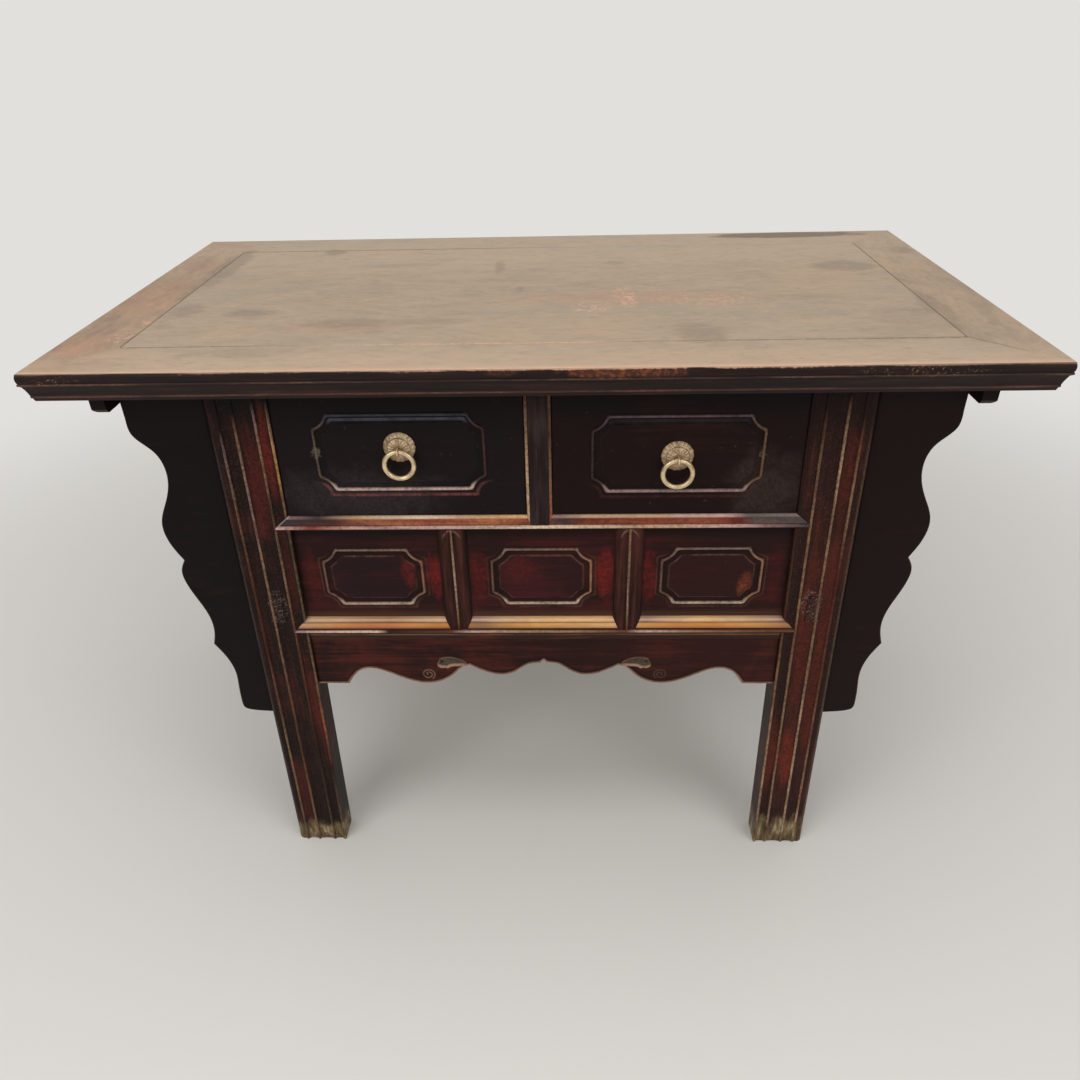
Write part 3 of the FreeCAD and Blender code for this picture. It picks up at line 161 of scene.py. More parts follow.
class Finish:
    """A material made of nodes on Object coordinates."""

    def __init__(self, name):
        self.material = bpy.data.materials.new(name)
        self.material.use_nodes = True
        self.tree = self.material.node_tree
        self.tree.nodes.clear()
        self.place = self.add("ShaderNodeTexCoord", out="Object")
        parts = self.add("ShaderNodeSeparateXYZ", inputs={0: self.place}).socket.node
        self.x, self.y, self.z = (Value(self, socket) for socket in parts.outputs)

    def add(self, kind, settings=None, inputs=None, out=0):
        """Adds a node, with its settings set first, and gives one of its outputs."""
        node = self.tree.nodes.new(kind)
        for key, value in (settings or {}).items():
            if key == "stops":
                self.set_stops(node.color_ramp, value)
            else:
                setattr(node, key, value)
        for key, value in (inputs or {}).items():
            if isinstance(value, Value):
                self.tree.links.new(value.socket, node.inputs[key])
            else:
                node.inputs[key].default_value = value
        return Value(self, node.outputs[out])

    @staticmethod
    def set_stops(ramp, stops):
        """Gives a colour ramp its stops."""
        while len(ramp.elements) < len(stops):
            ramp.elements.new(0.5)
        for element, (position, colour) in zip(ramp.elements, stops):
            element.position = position
            element.color = tone(colour)

    def noise(self, scale, detail, roughness, shift=0.0, warp=0.0, stretch=(1, 1, 1)):
        """Noise from 0 to 1 on stretched coordinates."""
        spot = self.add("ShaderNodeMapping", inputs={0: self.place, 1: (shift, shift * 0.7, -shift),
                                                    3: stretch})
        return self.add("ShaderNodeTexNoise", inputs={
            "Vector": spot, "Scale": scale, "Detail": detail, "Roughness": roughness,
            "Distortion": warp})

    def streaks(self, along, scale, shift=0.0, warp=0.3):
        """Noise drawn out along one axis."""
        return self.noise(scale, 5, 0.62, shift, warp, ALONG[along])

    def breaks(self, along, scale, low, high, shift=0.0):
        """Worn stretches: 1 where the surface is rubbed, 0 where it isn't."""
        return self.noise(scale, 5, 0.65, shift, 0.6, ALONG[along]).rise(low, high)

    def grit(self, low, high, shift=0.0, scale=230.0):
        """Specks a few millimetres wide, from 0 to 1, that break up worn places."""
        return self.noise(scale, 4, 0.7, 20.0 + shift, 0.4).rise(low, high)

    def mix(self, share, first, second):
        """Colour first at share 0, second at share 1."""
        return self.add("ShaderNodeMix", {"data_type": "RGBA"},
                        {0: share, 6: tone(first), 7: tone(second)}, out=2)

    def coats(self, colour, *layers):
        """A colour under layers, each given as (share, colour), laid one after another."""
        for share, layer in layers:
            colour = self.mix(share, colour, layer)
        return colour

    def ramp(self, value, *stops):
        """Colour of a value from (position, colour) stops."""
        return self.add("ShaderNodeValToRGB", {"stops": stops}, {0: value})

    def run(self, value, *stops):
        """Colour along a length: the stops are (place in metres, colour), in rising order."""
        low, high = stops[0][0], stops[-1][0]
        shares = [((place - low) / (high - low), colour) for place, colour in stops]
        return self.ramp((value - low) / (high - low), *shares)

    def level(self, value, *stops):
        """A number along a length: the stops are (place in metres, number), in rising order."""
        return self.run(value, *((place, (number,) * 3 + (1.0,)) for place, number in stops))

    def patch(self, across, up, centre, reach, soft=0.7, ragged=0.0):
        """Is 1 at the centre of an ellipse and fades to 0 at its rim, which ragged moves."""
        first = (across - centre[0]) / reach[0]
        second = (up - centre[1]) / reach[1]
        return (first * first + second * second + ragged).fall(1.0 - soft, 1.0)

    def bump(self, height, depth):
        """Normal of a surface whose height runs over depth metres."""
        return self.add("ShaderNodeBump", inputs={"Height": height, "Distance": depth,
                                                  "Strength": 1.0})

    def surface(self, **sockets):
        """Ends the finish in a Principled shader."""
        names = {"colour": "Base Color", "roughness": "Roughness", "metal": "Metallic",
                 "normal": "Normal", "specular": "Specular IOR Level", "glow": "Emission Color",
                 "glow_strength": "Emission Strength"}
        shader = self.add("ShaderNodeBsdfPrincipled",
                          inputs={names[key]: value for key, value in sockets.items()})
        end = self.tree.nodes.new("ShaderNodeOutputMaterial")
        self.tree.links.new(shader.socket, end.inputs["Surface"])
        return self.material


# Colours as (red, green, blue) steps from 0 to 255
# DUSK darkens the lacquer's pores, and is also the painted shade under the top, under the drawer
# rail and in the cartouches' grooves.
DUSK = (14, 10, 10)
BLACK = (26, 18, 17)
BROWN_BLACK = (36, 21, 18)
RED_BROWN = (80, 32, 25)
RED = (112, 34, 28)
WORN_RED = (140, 62, 44)
WORN_ORANGE = (182, 98, 64)
AMBER = (196, 126, 62)
GOLD = (212, 156, 88)
PALE_GOLD = (224, 176, 122)
BROWN = (104, 66, 46)
OLIVE = (98, 82, 58)
TAN = (150, 114, 86)
PALE_TAN = (200, 164, 130)
CREAM = (232, 206, 178)
PINK = (204, 168, 158)
MAUVE = (146, 116, 114)
SLATE = (58, 54, 58)


def lacquer_ground(f, along, ground, ruddy, share, shift):
    """Near-black lacquer, thinned in streaks and clouds to the red-brown wood below it."""
    streak = f.streaks(along, 6.0, 2.0 + shift)
    fine = f.streaks(along, 17.0, 2.5 + shift)
    cloud = f.noise(5.5, 5, 0.62, 1.1 + shift, 0.8)
    thin = (cloud * 0.45 + streak * 0.30 + fine * 0.25).rise(0.65 - 0.3 * share, 0.80 - 0.3 * share)
    return f.mix(thin * 0.9, ground, ruddy)


def lacquer_surface(f, along, colour, shift, gloss=0.08):
    """Ends a lacquer: fine dark pores, a faint grain in relief and a satin sheen."""
    pore = f.streaks(along, 36.0, 5.0 + shift, 0.1)
    cloud = f.noise(7.0, 4, 0.6, 6.0 + shift)
    colour = f.mix(pore.rise(0.52, 0.80) * 0.35, colour, DUSK)
    return f.surface(colour=colour, roughness=0.26 + cloud * 0.22 + pore * 0.08, specular=gloss,
                     normal=f.bump(pore * 0.5 + cloud, 0.14 * MM))


def plain_lacquer(name, along, ground, ruddy, share, shift, foot=0.0):
    """Lacquer without any special wear; a foot is the height up to which it is rubbed away."""
    f = Finish(name)
    colour = lacquer_ground(f, along, ground, ruddy, share, shift)
    scuff = f.noise(18.0, 5, 0.7, 3.3 + shift, 0.5).rise(0.66, 0.74)
    colour = f.mix(scuff * 0.25, colour, BROWN)
    if foot:
        colour = foot_wear(f, colour, foot, shift)
    return lacquer_surface(f, along, colour, shift)


def foot_wear(f, colour, height, shift):
    """The lowest part of a leg, rubbed to bare tan wood with a ragged upper limit."""
    ragged = f.z + (f.noise(75.0, 5, 0.7, 4.4 + shift, stretch=(1, 1, 0.25)) - 0.5) * 0.075
    mottle = f.noise(95.0, 5, 0.7, 9.1 + shift, stretch=(1, 1, 0.3))
    bare = f.ramp(mottle, (0.34, (64, 50, 36)), (0.52, (116, 98, 70)),
                  (0.66, (176, 158, 124)))
    return f.mix(ragged.fall(height - 0.016, height + 0.010) * 0.9, colour, bare)


# Wear of the top as (x, y, half-length, half-depth, strength)
TOP_STAINS = ((0.185, -0.193, 0.038, 0.042, 0.75), (-0.063, 0.107, 0.010, 0.044, 0.75),
              (-0.325, 0.207, 0.022, 0.026, 0.9), (0.100, 0.121, 0.022, 0.012, 0.6),
              (-0.029, -0.009, 0.008, 0.018, 0.6), (-0.355, -0.096, 0.046, 0.018, 0.75),
              (-0.233, -0.143, 0.066, 0.020, 0.75), (-0.134, -0.140, 0.062, 0.016, 0.5),
              (0.421, 0.087, 0.052, 0.034, 0.8), (-0.450, -0.080, 0.028, 0.034, 0.75),
              (-0.329, -0.241, 0.085, 0.022, 0.45), (-0.466, 0.130, 0.024, 0.130, 0.85),
              (0.478, -0.120, 0.022, 0.090, 0.75), (0.530, 0.172, 0.022, 0.026, 0.75),
              (0.444, -0.155, 0.060, 0.060, 0.30), (-0.522, 0.150, 0.034, 0.060, 0.45),
              (-0.217, 0.125, 0.080, 0.014, 0.4), (0.330, -0.060, 0.060, 0.014, 0.4))
TOP_TANS = ((-0.368, -0.173, 0.040, 0.040, 0.55), (0.030, -0.165, 0.170, 0.075, 0.45),
            (0.367, 0.010, 0.110, 0.090, 0.40), (0.200, -0.270, 0.260, 0.022, 0.45))
TOP_REDS = ((0.100, -0.056, 0.200, 0.040, 0.45), (-0.240, -0.160, 0.120, 0.030, 0.35),
            (-0.521, -0.215, 0.040, 0.050, 0.80), (-0.520, -0.030, 0.050, 0.120, 0.55),
            (-0.515, 0.130, 0.040, 0.060, 0.40))
TOP_SPECKS = ((0.109, -0.055, 0.020, 0.056, 1.0), (0.066, -0.095, 0.036, 0.036, 0.8),
              (0.210, -0.062, 0.090, 0.034, 0.6), (-0.487, -0.181, 0.018, 0.030, 1.0),
              (-0.480, -0.125, 0.014, 0.024, 0.9))


def top_patches(f, table, soft, ragged):
    """The strongest of a table of patches on the top, at each place."""
    found = f.x * 0.0
    for x, y, wide, deep, strength in table:
        found = found.most(f.patch(f.x, f.y, (x, y), (wide, deep), soft, ragged) * strength)
    return found


def top_boards(f, along):
    """Colour of the top's upper side: mottled grey-tan boards, warmer towards both ends, with
    faint stains, ruddy clouds and a few orange specks; the joints show as thin lines."""
    drawn = tuple(0.4 if axis == along else 1.0 for axis in "xyz")
    grain = f.noise(150.0, 4, 0.7, 1.7, 0.3, drawn)
    blotch = f.noise(34.0, 5, 0.7, 3.1, 0.6, drawn)
    cloud = f.noise(5.0, 5, 0.65, 0.4, 0.7, drawn)
    pore = f.streaks(along, 26.0, 1.7, 0.2)
    colour = f.ramp(blotch, (0.30, (156, 140, 122)), (0.50, (167, 149, 129)),
                    (0.70, (176, 153, 131)))
    colour = f.mix(cloud.rise(0.46, 0.66) * 0.45, colour, (152, 144, 130))
    end = f.ramp(blotch, (0.32, (134, 112, 94)), (0.50, (156, 133, 111)),
                 (0.68, (172, 142, 114)))
    if along == "y":
        warm = f.x.fall(-0.1, 0.1) * 0.38 + 0.42
    else:
        warm = f.x.fall(-0.52, -0.42) * 0.75 + f.x.rise(0.44, 0.53) * 0.40
        warm = warm * abs(f.y).rise(JOINT_Y - 2 * MM, JOINT_Y + 5 * MM)
    colour = f.coats(colour, (warm, end), (f.y.rise(0.02, 0.20) * 0.24, (204, 184, 160)),
                     (f.y.fall(-0.29, -0.20) * 0.28, (206, 176, 150)))
    ragged = (f.noise(46.0, 5, 0.7, 12.0, 0.8, drawn) - 0.5) * 2.6
    colour = f.coats(colour, (top_patches(f, TOP_TANS, 1.0, ragged) * 0.8, (181, 154, 127)),
                     (top_patches(f, TOP_REDS, 1.0, ragged) * 0.7, (176, 134, 110)))
    stain = top_patches(f, TOP_STAINS, 0.8, ragged)
    strip = f.patch(f.x, f.y, (0.385, 0.278), (0.135, 0.020), 0.5, ragged * 0.6)
    colour = f.coats(colour, (stain * 0.50, (122, 108, 96)), (strip * 0.70, (104, 90, 76)),
                     (grain.rise(0.50, 0.74) * 0.30, (128, 110, 94)),
                     (grain.fall(0.28, 0.46) * 0.22, (198, 176, 152)))
    speck = top_patches(f, TOP_SPECKS, 0.9, ragged * 0.5)
    colour = f.mix(speck * f.grit(0.50, 0.60, 2.2, 150.0) * 0.62, colour, (224, 168, 142))

    broken = f.grit(0.34, 0.56, 6.0, 120.0)
    seam = f.y.near(-JOINT_Y - 0.5 * MM, 3.6 * MM) * abs(f.x).fall(JOINT_X - 2 * MM, JOINT_X)
    worn = f.run(f.x, (-JOINT_X, (128, 110, 92)), (-0.33, (140, 120, 100)),
                 (-0.20, (206, 174, 144)), (0.06, (218, 166, 128)),
                 (0.11, (150, 128, 106)), (JOINT_X, (118, 98, 80)))
    colour = f.mix(seam * (broken * 0.75 + 0.12), colour, worn)
    rear = f.y.near(JOINT_Y + 1.5 * MM, 4.0 * MM) * f.x.fall(-0.10, 0.10)
    rear = rear * f.x.rise(-JOINT_X, 2 * MM - JOINT_X)
    colour = f.mix(rear * 0.5, colour, (104, 86, 72))
    side = abs(f.x).near(JOINT_X, 2.4 * MM) * abs(f.y).fall(JOINT_Y - 2 * MM, JOINT_Y)
    colour = f.mix(side * 0.5, colour, (104, 88, 74))
    crack = abs(f.x + f.y - (JOINT_X - JOINT_Y) + (blotch - 0.5) * 0.012).fall(0.0, 3.2 * MM)
    crack = crack * f.x.within(JOINT_X - 4 * MM, 0.520, 6 * MM)
    colour = f.mix(crack * (0.35 + broken * 0.25), colour, (104, 84, 68))
    return colour, grain, stain, pore


# Depths of the moulded edge's two beads under the top
UPPER_BEAD = 13.0 * MM
LOWER_BEAD = 28.8 * MM


def top_edge(f, along):
    """Colour of the top's moulded edge: near-black in red-brown streaks, with small scuffs, a worn
    run in the middle and two beads rubbed in places."""
    drop = TOP - f.z
    streak = f.streaks(along, 9.0, 5.5)
    specks = f.grit(0.46, 0.60, 3.0, 170.0)
    edge = f.ramp(streak, (0.36, (20, 12, 11)), (0.60, (38, 21, 18)),
                  (0.84, (72, 36, 27)))
    fine = f.grit(0.54, 0.64, 13.0, 300.0)
    ragged = (f.noise(60.0, 5, 0.7, 6.0, 0.5, (0.5, 1, 1)) - 0.5) * 2.4
    worn = (f.patch(f.x, drop, (0.098, 5.5 * MM), (0.085, 8.0 * MM), 0.9, ragged)
            .most(f.patch(f.x, drop, (-0.035, 5.0 * MM), (0.020, 5.0 * MM), 0.9, ragged) * 0.35))
    edge = f.mix(worn * (0.22 + specks * 0.50), edge, (134, 76, 52))
    flake = (f.patch(f.x, drop, (0.400, 8.5 * MM), (0.085, 7.0 * MM), 0.9, ragged)
             .most(f.patch(f.x, drop, (-0.512, 8.5 * MM), (0.045, 6.5 * MM), 0.9, ragged)))
    edge = f.coats(edge, (flake * fine * f.grit(0.40, 0.56, 17.0, 70.0) * 0.75, (156, 108, 82)),
                   (f.grit(0.70, 0.76, 9.0, 140.0) * 0.35, (112, 92, 80)))
    rubbed = f.breaks(along, 11.0, 0.40, 0.60, 9.0) * (0.5 + specks * 0.5)
    edge = f.coats(
        edge, (drop.near(UPPER_BEAD, 1.7 * MM) * (rubbed * 0.46 + 0.06), (138, 102, 78)),
        (drop.near(LOWER_BEAD, 2.0 * MM) * (rubbed * 0.46 + 0.16), (140, 88, 72)))
    return edge, drop, streak, rubbed


def top_finish(name, along):
    """Worn satin top with a near-black moulded edge, its front arris rubbed pale."""
    f = Finish(name)
    colour, grain, stain, pore = top_boards(f, along)
    edge, drop, streak, rubbed = top_edge(f, along)
    front = (f.y + TOP_HALF_DEPTH).fall(1.0 * MM, 13.0 * MM)
    colour = f.mix(front * (0.30 + streak * 0.60), colour, (206, 168, 140))
    strength = f.level(f.x, (-TOP_HALF_LENGTH, 0.10), (-0.47, 0.55), (0.30, 0.80), (0.42, 0.40),
                       (TOP_HALF_LENGTH, 0.20))
    strength = strength * f.y.fall(-0.29, -0.28) + 0.05
    nick = (streak - 0.5) * 3.0 * MM + rubbed * 1.6 * MM
    lip = (drop - nick).fall(0.4 * MM, 2.2 * MM)
    edge = f.mix(lip * strength, edge, (206, 166, 138))
    colour = f.mix(drop.fall(0.15 * MM, 0.9 * MM), edge, colour)
    return f.surface(colour=colour, roughness=0.40 + grain * 0.14 + pore * 0.06, specular=0.2,
                     normal=f.bump(pore * 0.5 + grain * 0.4 - stain * 0.2, 0.10 * MM))


# Places of the beads across a front leg, as shares of its width from the inner side
LEG_BEADS = (0.027, 0.24, 0.565, 0.81)
# Colours of the beads of each front leg, from the inner one outwards, as (height, colour) runs
# Each run ends in black under the top: partly dark lacquer, partly painted shade of the top's
# overhang.
LEFT_BEADS = (((0.00, TAN), (0.16, BROWN_BLACK), (0.24, WORN_ORANGE), (0.31, TAN), (0.44, OLIVE),
               (0.58, OLIVE), (0.60, TAN), (0.66, GOLD), (0.71, PALE_TAN), (0.745, BLACK)),
              ((0.00, OLIVE), (0.20, BROWN_BLACK), (0.40, BROWN), (0.50, TAN), (0.60, OLIVE),
               (0.68, TAN), (0.72, MAUVE), (0.745, BLACK)),
              ((0.00, TAN), (0.20, BROWN), (0.40, TAN), (0.50, TAN), (0.62, MAUVE), (0.69, TAN),
               (0.73, BLACK)),
              ((0.00, OLIVE), (0.25, TAN), (0.38, RED_BROWN), (0.55, BROWN), (0.62, TAN),
               (0.67, MAUVE), (0.71, BLACK)))
RIGHT_BEADS = (((0.00, PALE_TAN), (0.30, TAN), (0.44, BROWN), (0.60, BROWN_BLACK), (0.745, BLACK)),
               ((0.00, PALE_TAN), (0.20, TAN), (0.42, TAN), (0.58, TAN), (0.66, TAN), (0.70, BROWN),
                (0.73, BLACK)),
               ((0.00, PALE_TAN), (0.25, PALE_TAN), (0.50, TAN), (0.66, PALE_TAN), (0.71, TAN),
                (0.745, BLACK)),
               ((0.00, PALE_TAN), (0.18, TAN), (0.35, BROWN), (0.50, RED_BROWN), (0.62, TAN),
                (0.69, BROWN), (0.72, BLACK)))
# Thin places of the lacquer between the beads, as (share across, height, half-share, half-height,
# strength)
LEFT_THIN = ((0.14, 0.675, 0.10, 0.075, 1.0), (0.40, 0.640, 0.18, 0.110, 0.55),
             (0.14, 0.520, 0.12, 0.080, 0.35), (0.70, 0.100, 0.16, 0.090, 0.4),
             (0.14, 0.290, 0.10, 0.100, 0.45))
RIGHT_THIN = ((0.40, 0.380, 0.18, 0.220, 0.5), (0.40, 0.180, 0.18, 0.075, 1.0),
              (0.70, 0.290, 0.16, 0.140, 0.5), (0.70, 0.640, 0.16, 0.080, 0.35),
              (0.12, 0.200, 0.12, 0.100, 0.45), (0.70, 0.480, 0.16, 0.120, 0.35))
TENON_FLECKS = (128, 112, 100)
LEG_THIN = (68, 31, 27)


def leg_ground(f, ground, shift):
    """Streaky brown-black lacquer of a leg, speckled, and painted darker under the top as the shade
    of its overhang.
    """
    colour = lacquer_ground(f, "z", ground, LEG_THIN, 0.58, shift)
    colour = f.mix(f.grit(0.50, 0.74, 11.0 + shift, 420.0) * 0.26, colour, (122, 84, 66))
    # Painted shade under the top's overhang.
    return f.mix(f.z.rise(0.67, 0.75) * 0.65, colour, DUSK)


def leg_finish(name, ground, beads, thin_places, worn_red, outer_edge, foot, shift):
    """Front leg: dark ground between four worn beads, a rubbed outer arris and a bare foot."""
    f = Finish(name)
    inner = leg_outer(f.z) - LEG_WIDTH
    share = (abs(f.x) - inner) / LEG_WIDTH
    depth = f.y - FRONT
    colour = leg_ground(f, ground, shift)
    mottle = f.noise(42.0, 5, 0.7, 8.0 + shift, 0.6, (1, 1, 0.3))
    grit = f.grit(0.38, 0.62, shift)
    for across, height, wide, high, strength in thin_places:
        thin = f.patch(share, f.z, (across, height), (wide, high), 1.0, (mottle - 0.5) * 2.4)
        colour = f.mix(thin * (0.35 + grit * 0.55) * strength, colour, worn_red)
    wobble = (f.noise(130.0, 4, 0.7, 3.0 + shift, 0.4, (1, 1, 0.35)) - 0.5) * 2.6 * MM
    crest = (depth + wobble).fall(0.45 * MM, 1.65 * MM)
    rubbed = (f.breaks("z", 8.0, 0.34, 0.56, 3.0 + shift) * 0.55 + 0.35) * (0.45 + grit * 0.55)
    for place, stops in zip(LEG_BEADS, beads):
        line = crest * share.near(place, 0.07)
        colour = f.mix(line * rubbed, colour, f.run(f.z, *stops))
    arris = share.within(0.935, 1.0, 0.02) * depth.fall(4.0 * MM, 7.0 * MM)
    colour = f.mix(arris * (0.20 + grit * 0.45) * f.z.fall(0.66, 0.73), colour, outer_edge)
    chalk = f.grit(0.50, 0.62, 2.0 + shift, 300.0)
    tenon = f.patch(share, f.z, (0.45, 0.460), (0.20, 0.027), 0.7, (mottle - 0.5) * 1.5)
    colour = f.coats(colour, (tenon * chalk * 0.6, TENON_FLECKS),
                     (f.grit(0.72, 0.78, 5.0 + shift, 120.0) * 0.4, TAN))
    colour = foot_wear(f, colour, foot, shift)
    return lacquer_surface(f, "z", colour, shift)


def tenon_rail_finish(name):
    """Side rail whose through tenon shows in the leg's face: its end matches the leg there."""
    f = Finish(name)
    colour = lacquer_ground(f, "y", BLACK, RED_BROWN, 0.35, 9.0)
    end = leg_ground(f, BROWN_BLACK, 1.0)
    end = f.mix(f.grit(0.50, 0.62, 1.0, 300.0) * 0.5, end, TENON_FLECKS)
    colour = f.mix(f.y.fall(FRONT + 6 * MM, FRONT + 9 * MM), colour, end)
    return lacquer_surface(f, "y", colour, 9.0)


def post_finish(name):
    """Post between the drawers: near-black, painted darker under the top as shade, with a worn bead
    along each edge.
    """
    f = Finish(name)
    colour = lacquer_ground(f, "z", (34, 25, 24), (66, 52, 50), 0.6, 4.0)
    # Painted shade under the top's overhang.
    colour = f.mix(f.z.rise(0.69, 0.75) * 0.6, colour, DUSK)
    crest = (f.y - FRONT).fall(0.25 * MM, 1.45 * MM)
    grit = f.grit(0.36, 0.60, 4.0)
    rubbed = (f.breaks("z", 9.0, 0.34, 0.56, 2.0) * 0.5 + 0.45) * (0.5 + grit * 0.5)
    left = f.run(f.z, (0.590, PALE_TAN), (0.650, PALE_TAN), (0.700, TAN), (0.745, BROWN))
    right = f.run(f.z, (0.590, WORN_ORANGE), (0.650, TAN), (0.700, BROWN), (0.745, BROWN))
    colour = f.coats(colour, (crest * rubbed * f.x.fall(-0.011, -0.009), left),
                     (crest * rubbed * f.x.rise(0.009, 0.011), right))
    return lacquer_surface(f, "z", colour, 4.0)


def mullion_finish(name):
    """Mullion: streaky red-brown faces, a worn bead down the middle and a pale curved head."""
    f = Finish(name)
    across = abs(f.x) - MULLION_X
    colour = lacquer_ground(f, "z", (34, 20, 18), (68, 34, 28), 0.7, 5.0)
    face = across.near(-9.5 * MM, 6 * MM).most(across.near(9.5 * MM, 6 * MM))
    streak = f.streaks("z", 14.0, 7.0).rise(0.38, 0.66)
    grit = f.grit(0.36, 0.60, 5.0)
    colour = f.mix(face * streak * 0.55, colour, (98, 52, 43))
    arch = PANEL_TOP - 2.5 * MM - f.z - across * across * 85.0
    arch = abs(arch).fall(0.4 * MM, 2.8 * MM) * abs(across).within(2.0 * MM, 11.0 * MM, 1.5 * MM)
    colour = f.mix(arch * (0.20 + grit * 0.50), colour, (132, 102, 90))
    crest = (f.y - FRONT).fall(1.2 * MM, 2.1 * MM) * across.near(0.0, 4.5 * MM)
    rubbed = (f.breaks("z", 9.0, 0.34, 0.52, 1.0) * 0.6 + 0.30) * (0.45 + grit * 0.55)
    fade = f.run(f.z, (0.425, BROWN), (0.450, TAN), (0.500, (182, 152, 130)), (0.550, TAN),
                 (0.574, TAN))
    colour = f.mix(crest * rubbed, colour, fade)
    return lacquer_surface(f, "z", colour, 5.0)


CARTOUCHE_CORNER = 23.0 * MM
# The corner scoop's centre outside the corner and its radius, as shares of the corner
SCOOP_OFFSET = 0.2376
SCOOP_RADIUS = 1.043
BEAD_WIDTH = 4.2 * MM
FIELD_EDGE = 11.5 * MM
PANEL_CARTOUCHE = (64.5 * MM, 43.5 * MM)
DRAWER_CARTOUCHE = (100.0 * MM, 49.75 * MM)


def cartouche_inset(f, centre, half):
    """How far a place lies inside a cartouche's outline: the least of its distances from the two
    nearest sides and from the scoop at their corner, an arc whose centre lies outside it."""
    side = half[0] - abs(f.x - centre[0])
    level = half[1] - abs(f.z - centre[1])
    offset = SCOOP_OFFSET * CARTOUCHE_CORNER
    out, up = side + offset, level + offset
    scoop = (out * out + up * up).root() - SCOOP_RADIUS * CARTOUCHE_CORNER
    return side.least(level).soft_least(scoop, 4.0 * MM)


def cartouche_colour(f, colour, centre, half, bead, outer, field, sheen):
    """Paints a cartouche's bead, the line round it and the arris of its field.

    bead gives the colours at its left, right, top and bottom; the paler bottom is partly wear and
    partly a painted highlight where the bead's inner flank faces up. outer gives the outer line's
    inset and colour, then its strengths at the sides and the bottom: that line is a painted
    highlight on the wall of the channel round the bead, left off at the top where that wall faces
    down. field gives the arris's colour and strength, and sheen those of a painted sheen on the
    hollow under the bead's top."""
    left, right, top, bottom = bead
    outer_inset, outer_colour, strength_side, strength_low = outer
    inset = cartouche_inset(f, centre, half)
    low = f.z.fall(centre[1] - half[1] + 6 * MM, centre[1] - half[1] + 15 * MM)
    high = f.z.rise(centre[1] + half[1] - 15 * MM, centre[1] + half[1] - 6 * MM)
    tint = f.mix(f.x.rise(centre[0] - 10 * MM, centre[0] + 10 * MM), left, right)
    tint = f.mix(low, f.mix(high, tint, top), bottom)
    rubbed = f.noise(42.0, 5, 0.7, 3.0 + centre[0] * 9).rise(0.34, 0.58)
    grit = f.grit(0.36, 0.60, centre[0] * 7)
    # The groove between bead and field is painted darker: painted shade in the recess.
    groove = inset.within(BEAD_WIDTH + 0.4 * MM, FIELD_EDGE - 1.0 * MM, 0.8 * MM)
    colour = f.mix(groove * 0.35, colour, DUSK)
    # Painted sheen on the hollow under the bead's top.
    hollow = inset.within(6.0 * MM, 9.5 * MM, 1.0 * MM) * high * (0.45 + rubbed * 0.55)
    colour = f.mix(hollow * sheen[1], colour, sheen[0])
    # The outer line: a painted highlight on the channel's wall, at the sides and the bottom only.
    strength = low * strength_low + (1.0 - high - low) * strength_side
    line = inset.near(outer_inset, 1.6 * MM).most(inset.near(outer_inset, 3.2 * MM) * low)
    colour = f.mix(line * strength * (0.25 + rubbed * 0.75) * (0.5 + grit * 0.5), colour,
                   outer_colour)
    arris = inset.near(FIELD_EDGE, 1.8 * MM) * rubbed * (0.4 + grit * 0.6)
    colour = f.mix(arris * field[1], colour, field[0])
    # The bead, widened and paled at the bottom: wear, and a painted highlight where it faces up.
    line = inset.within(0.6 * MM, 3.4 * MM, 0.9 * MM)
    line = line.most(inset.within(0.1 * MM, 4.0 * MM, 0.9 * MM) * low)
    return f.mix(line * (0.30 + rubbed * 0.32 + grit * 0.38), colour, tint), inset


PANEL_MIDDLE = (PANEL_FLOOR + PANEL_TOP) / 2
PANEL_Z = PANEL_MIDDLE - 5.5 * MM
SIDE_PANEL_X = (MULLION_X + MULLION_WIDTH / 2 + leg_outer(PANEL_MIDDLE) - LEG_WIDTH) / 2 - 5.0 * MM


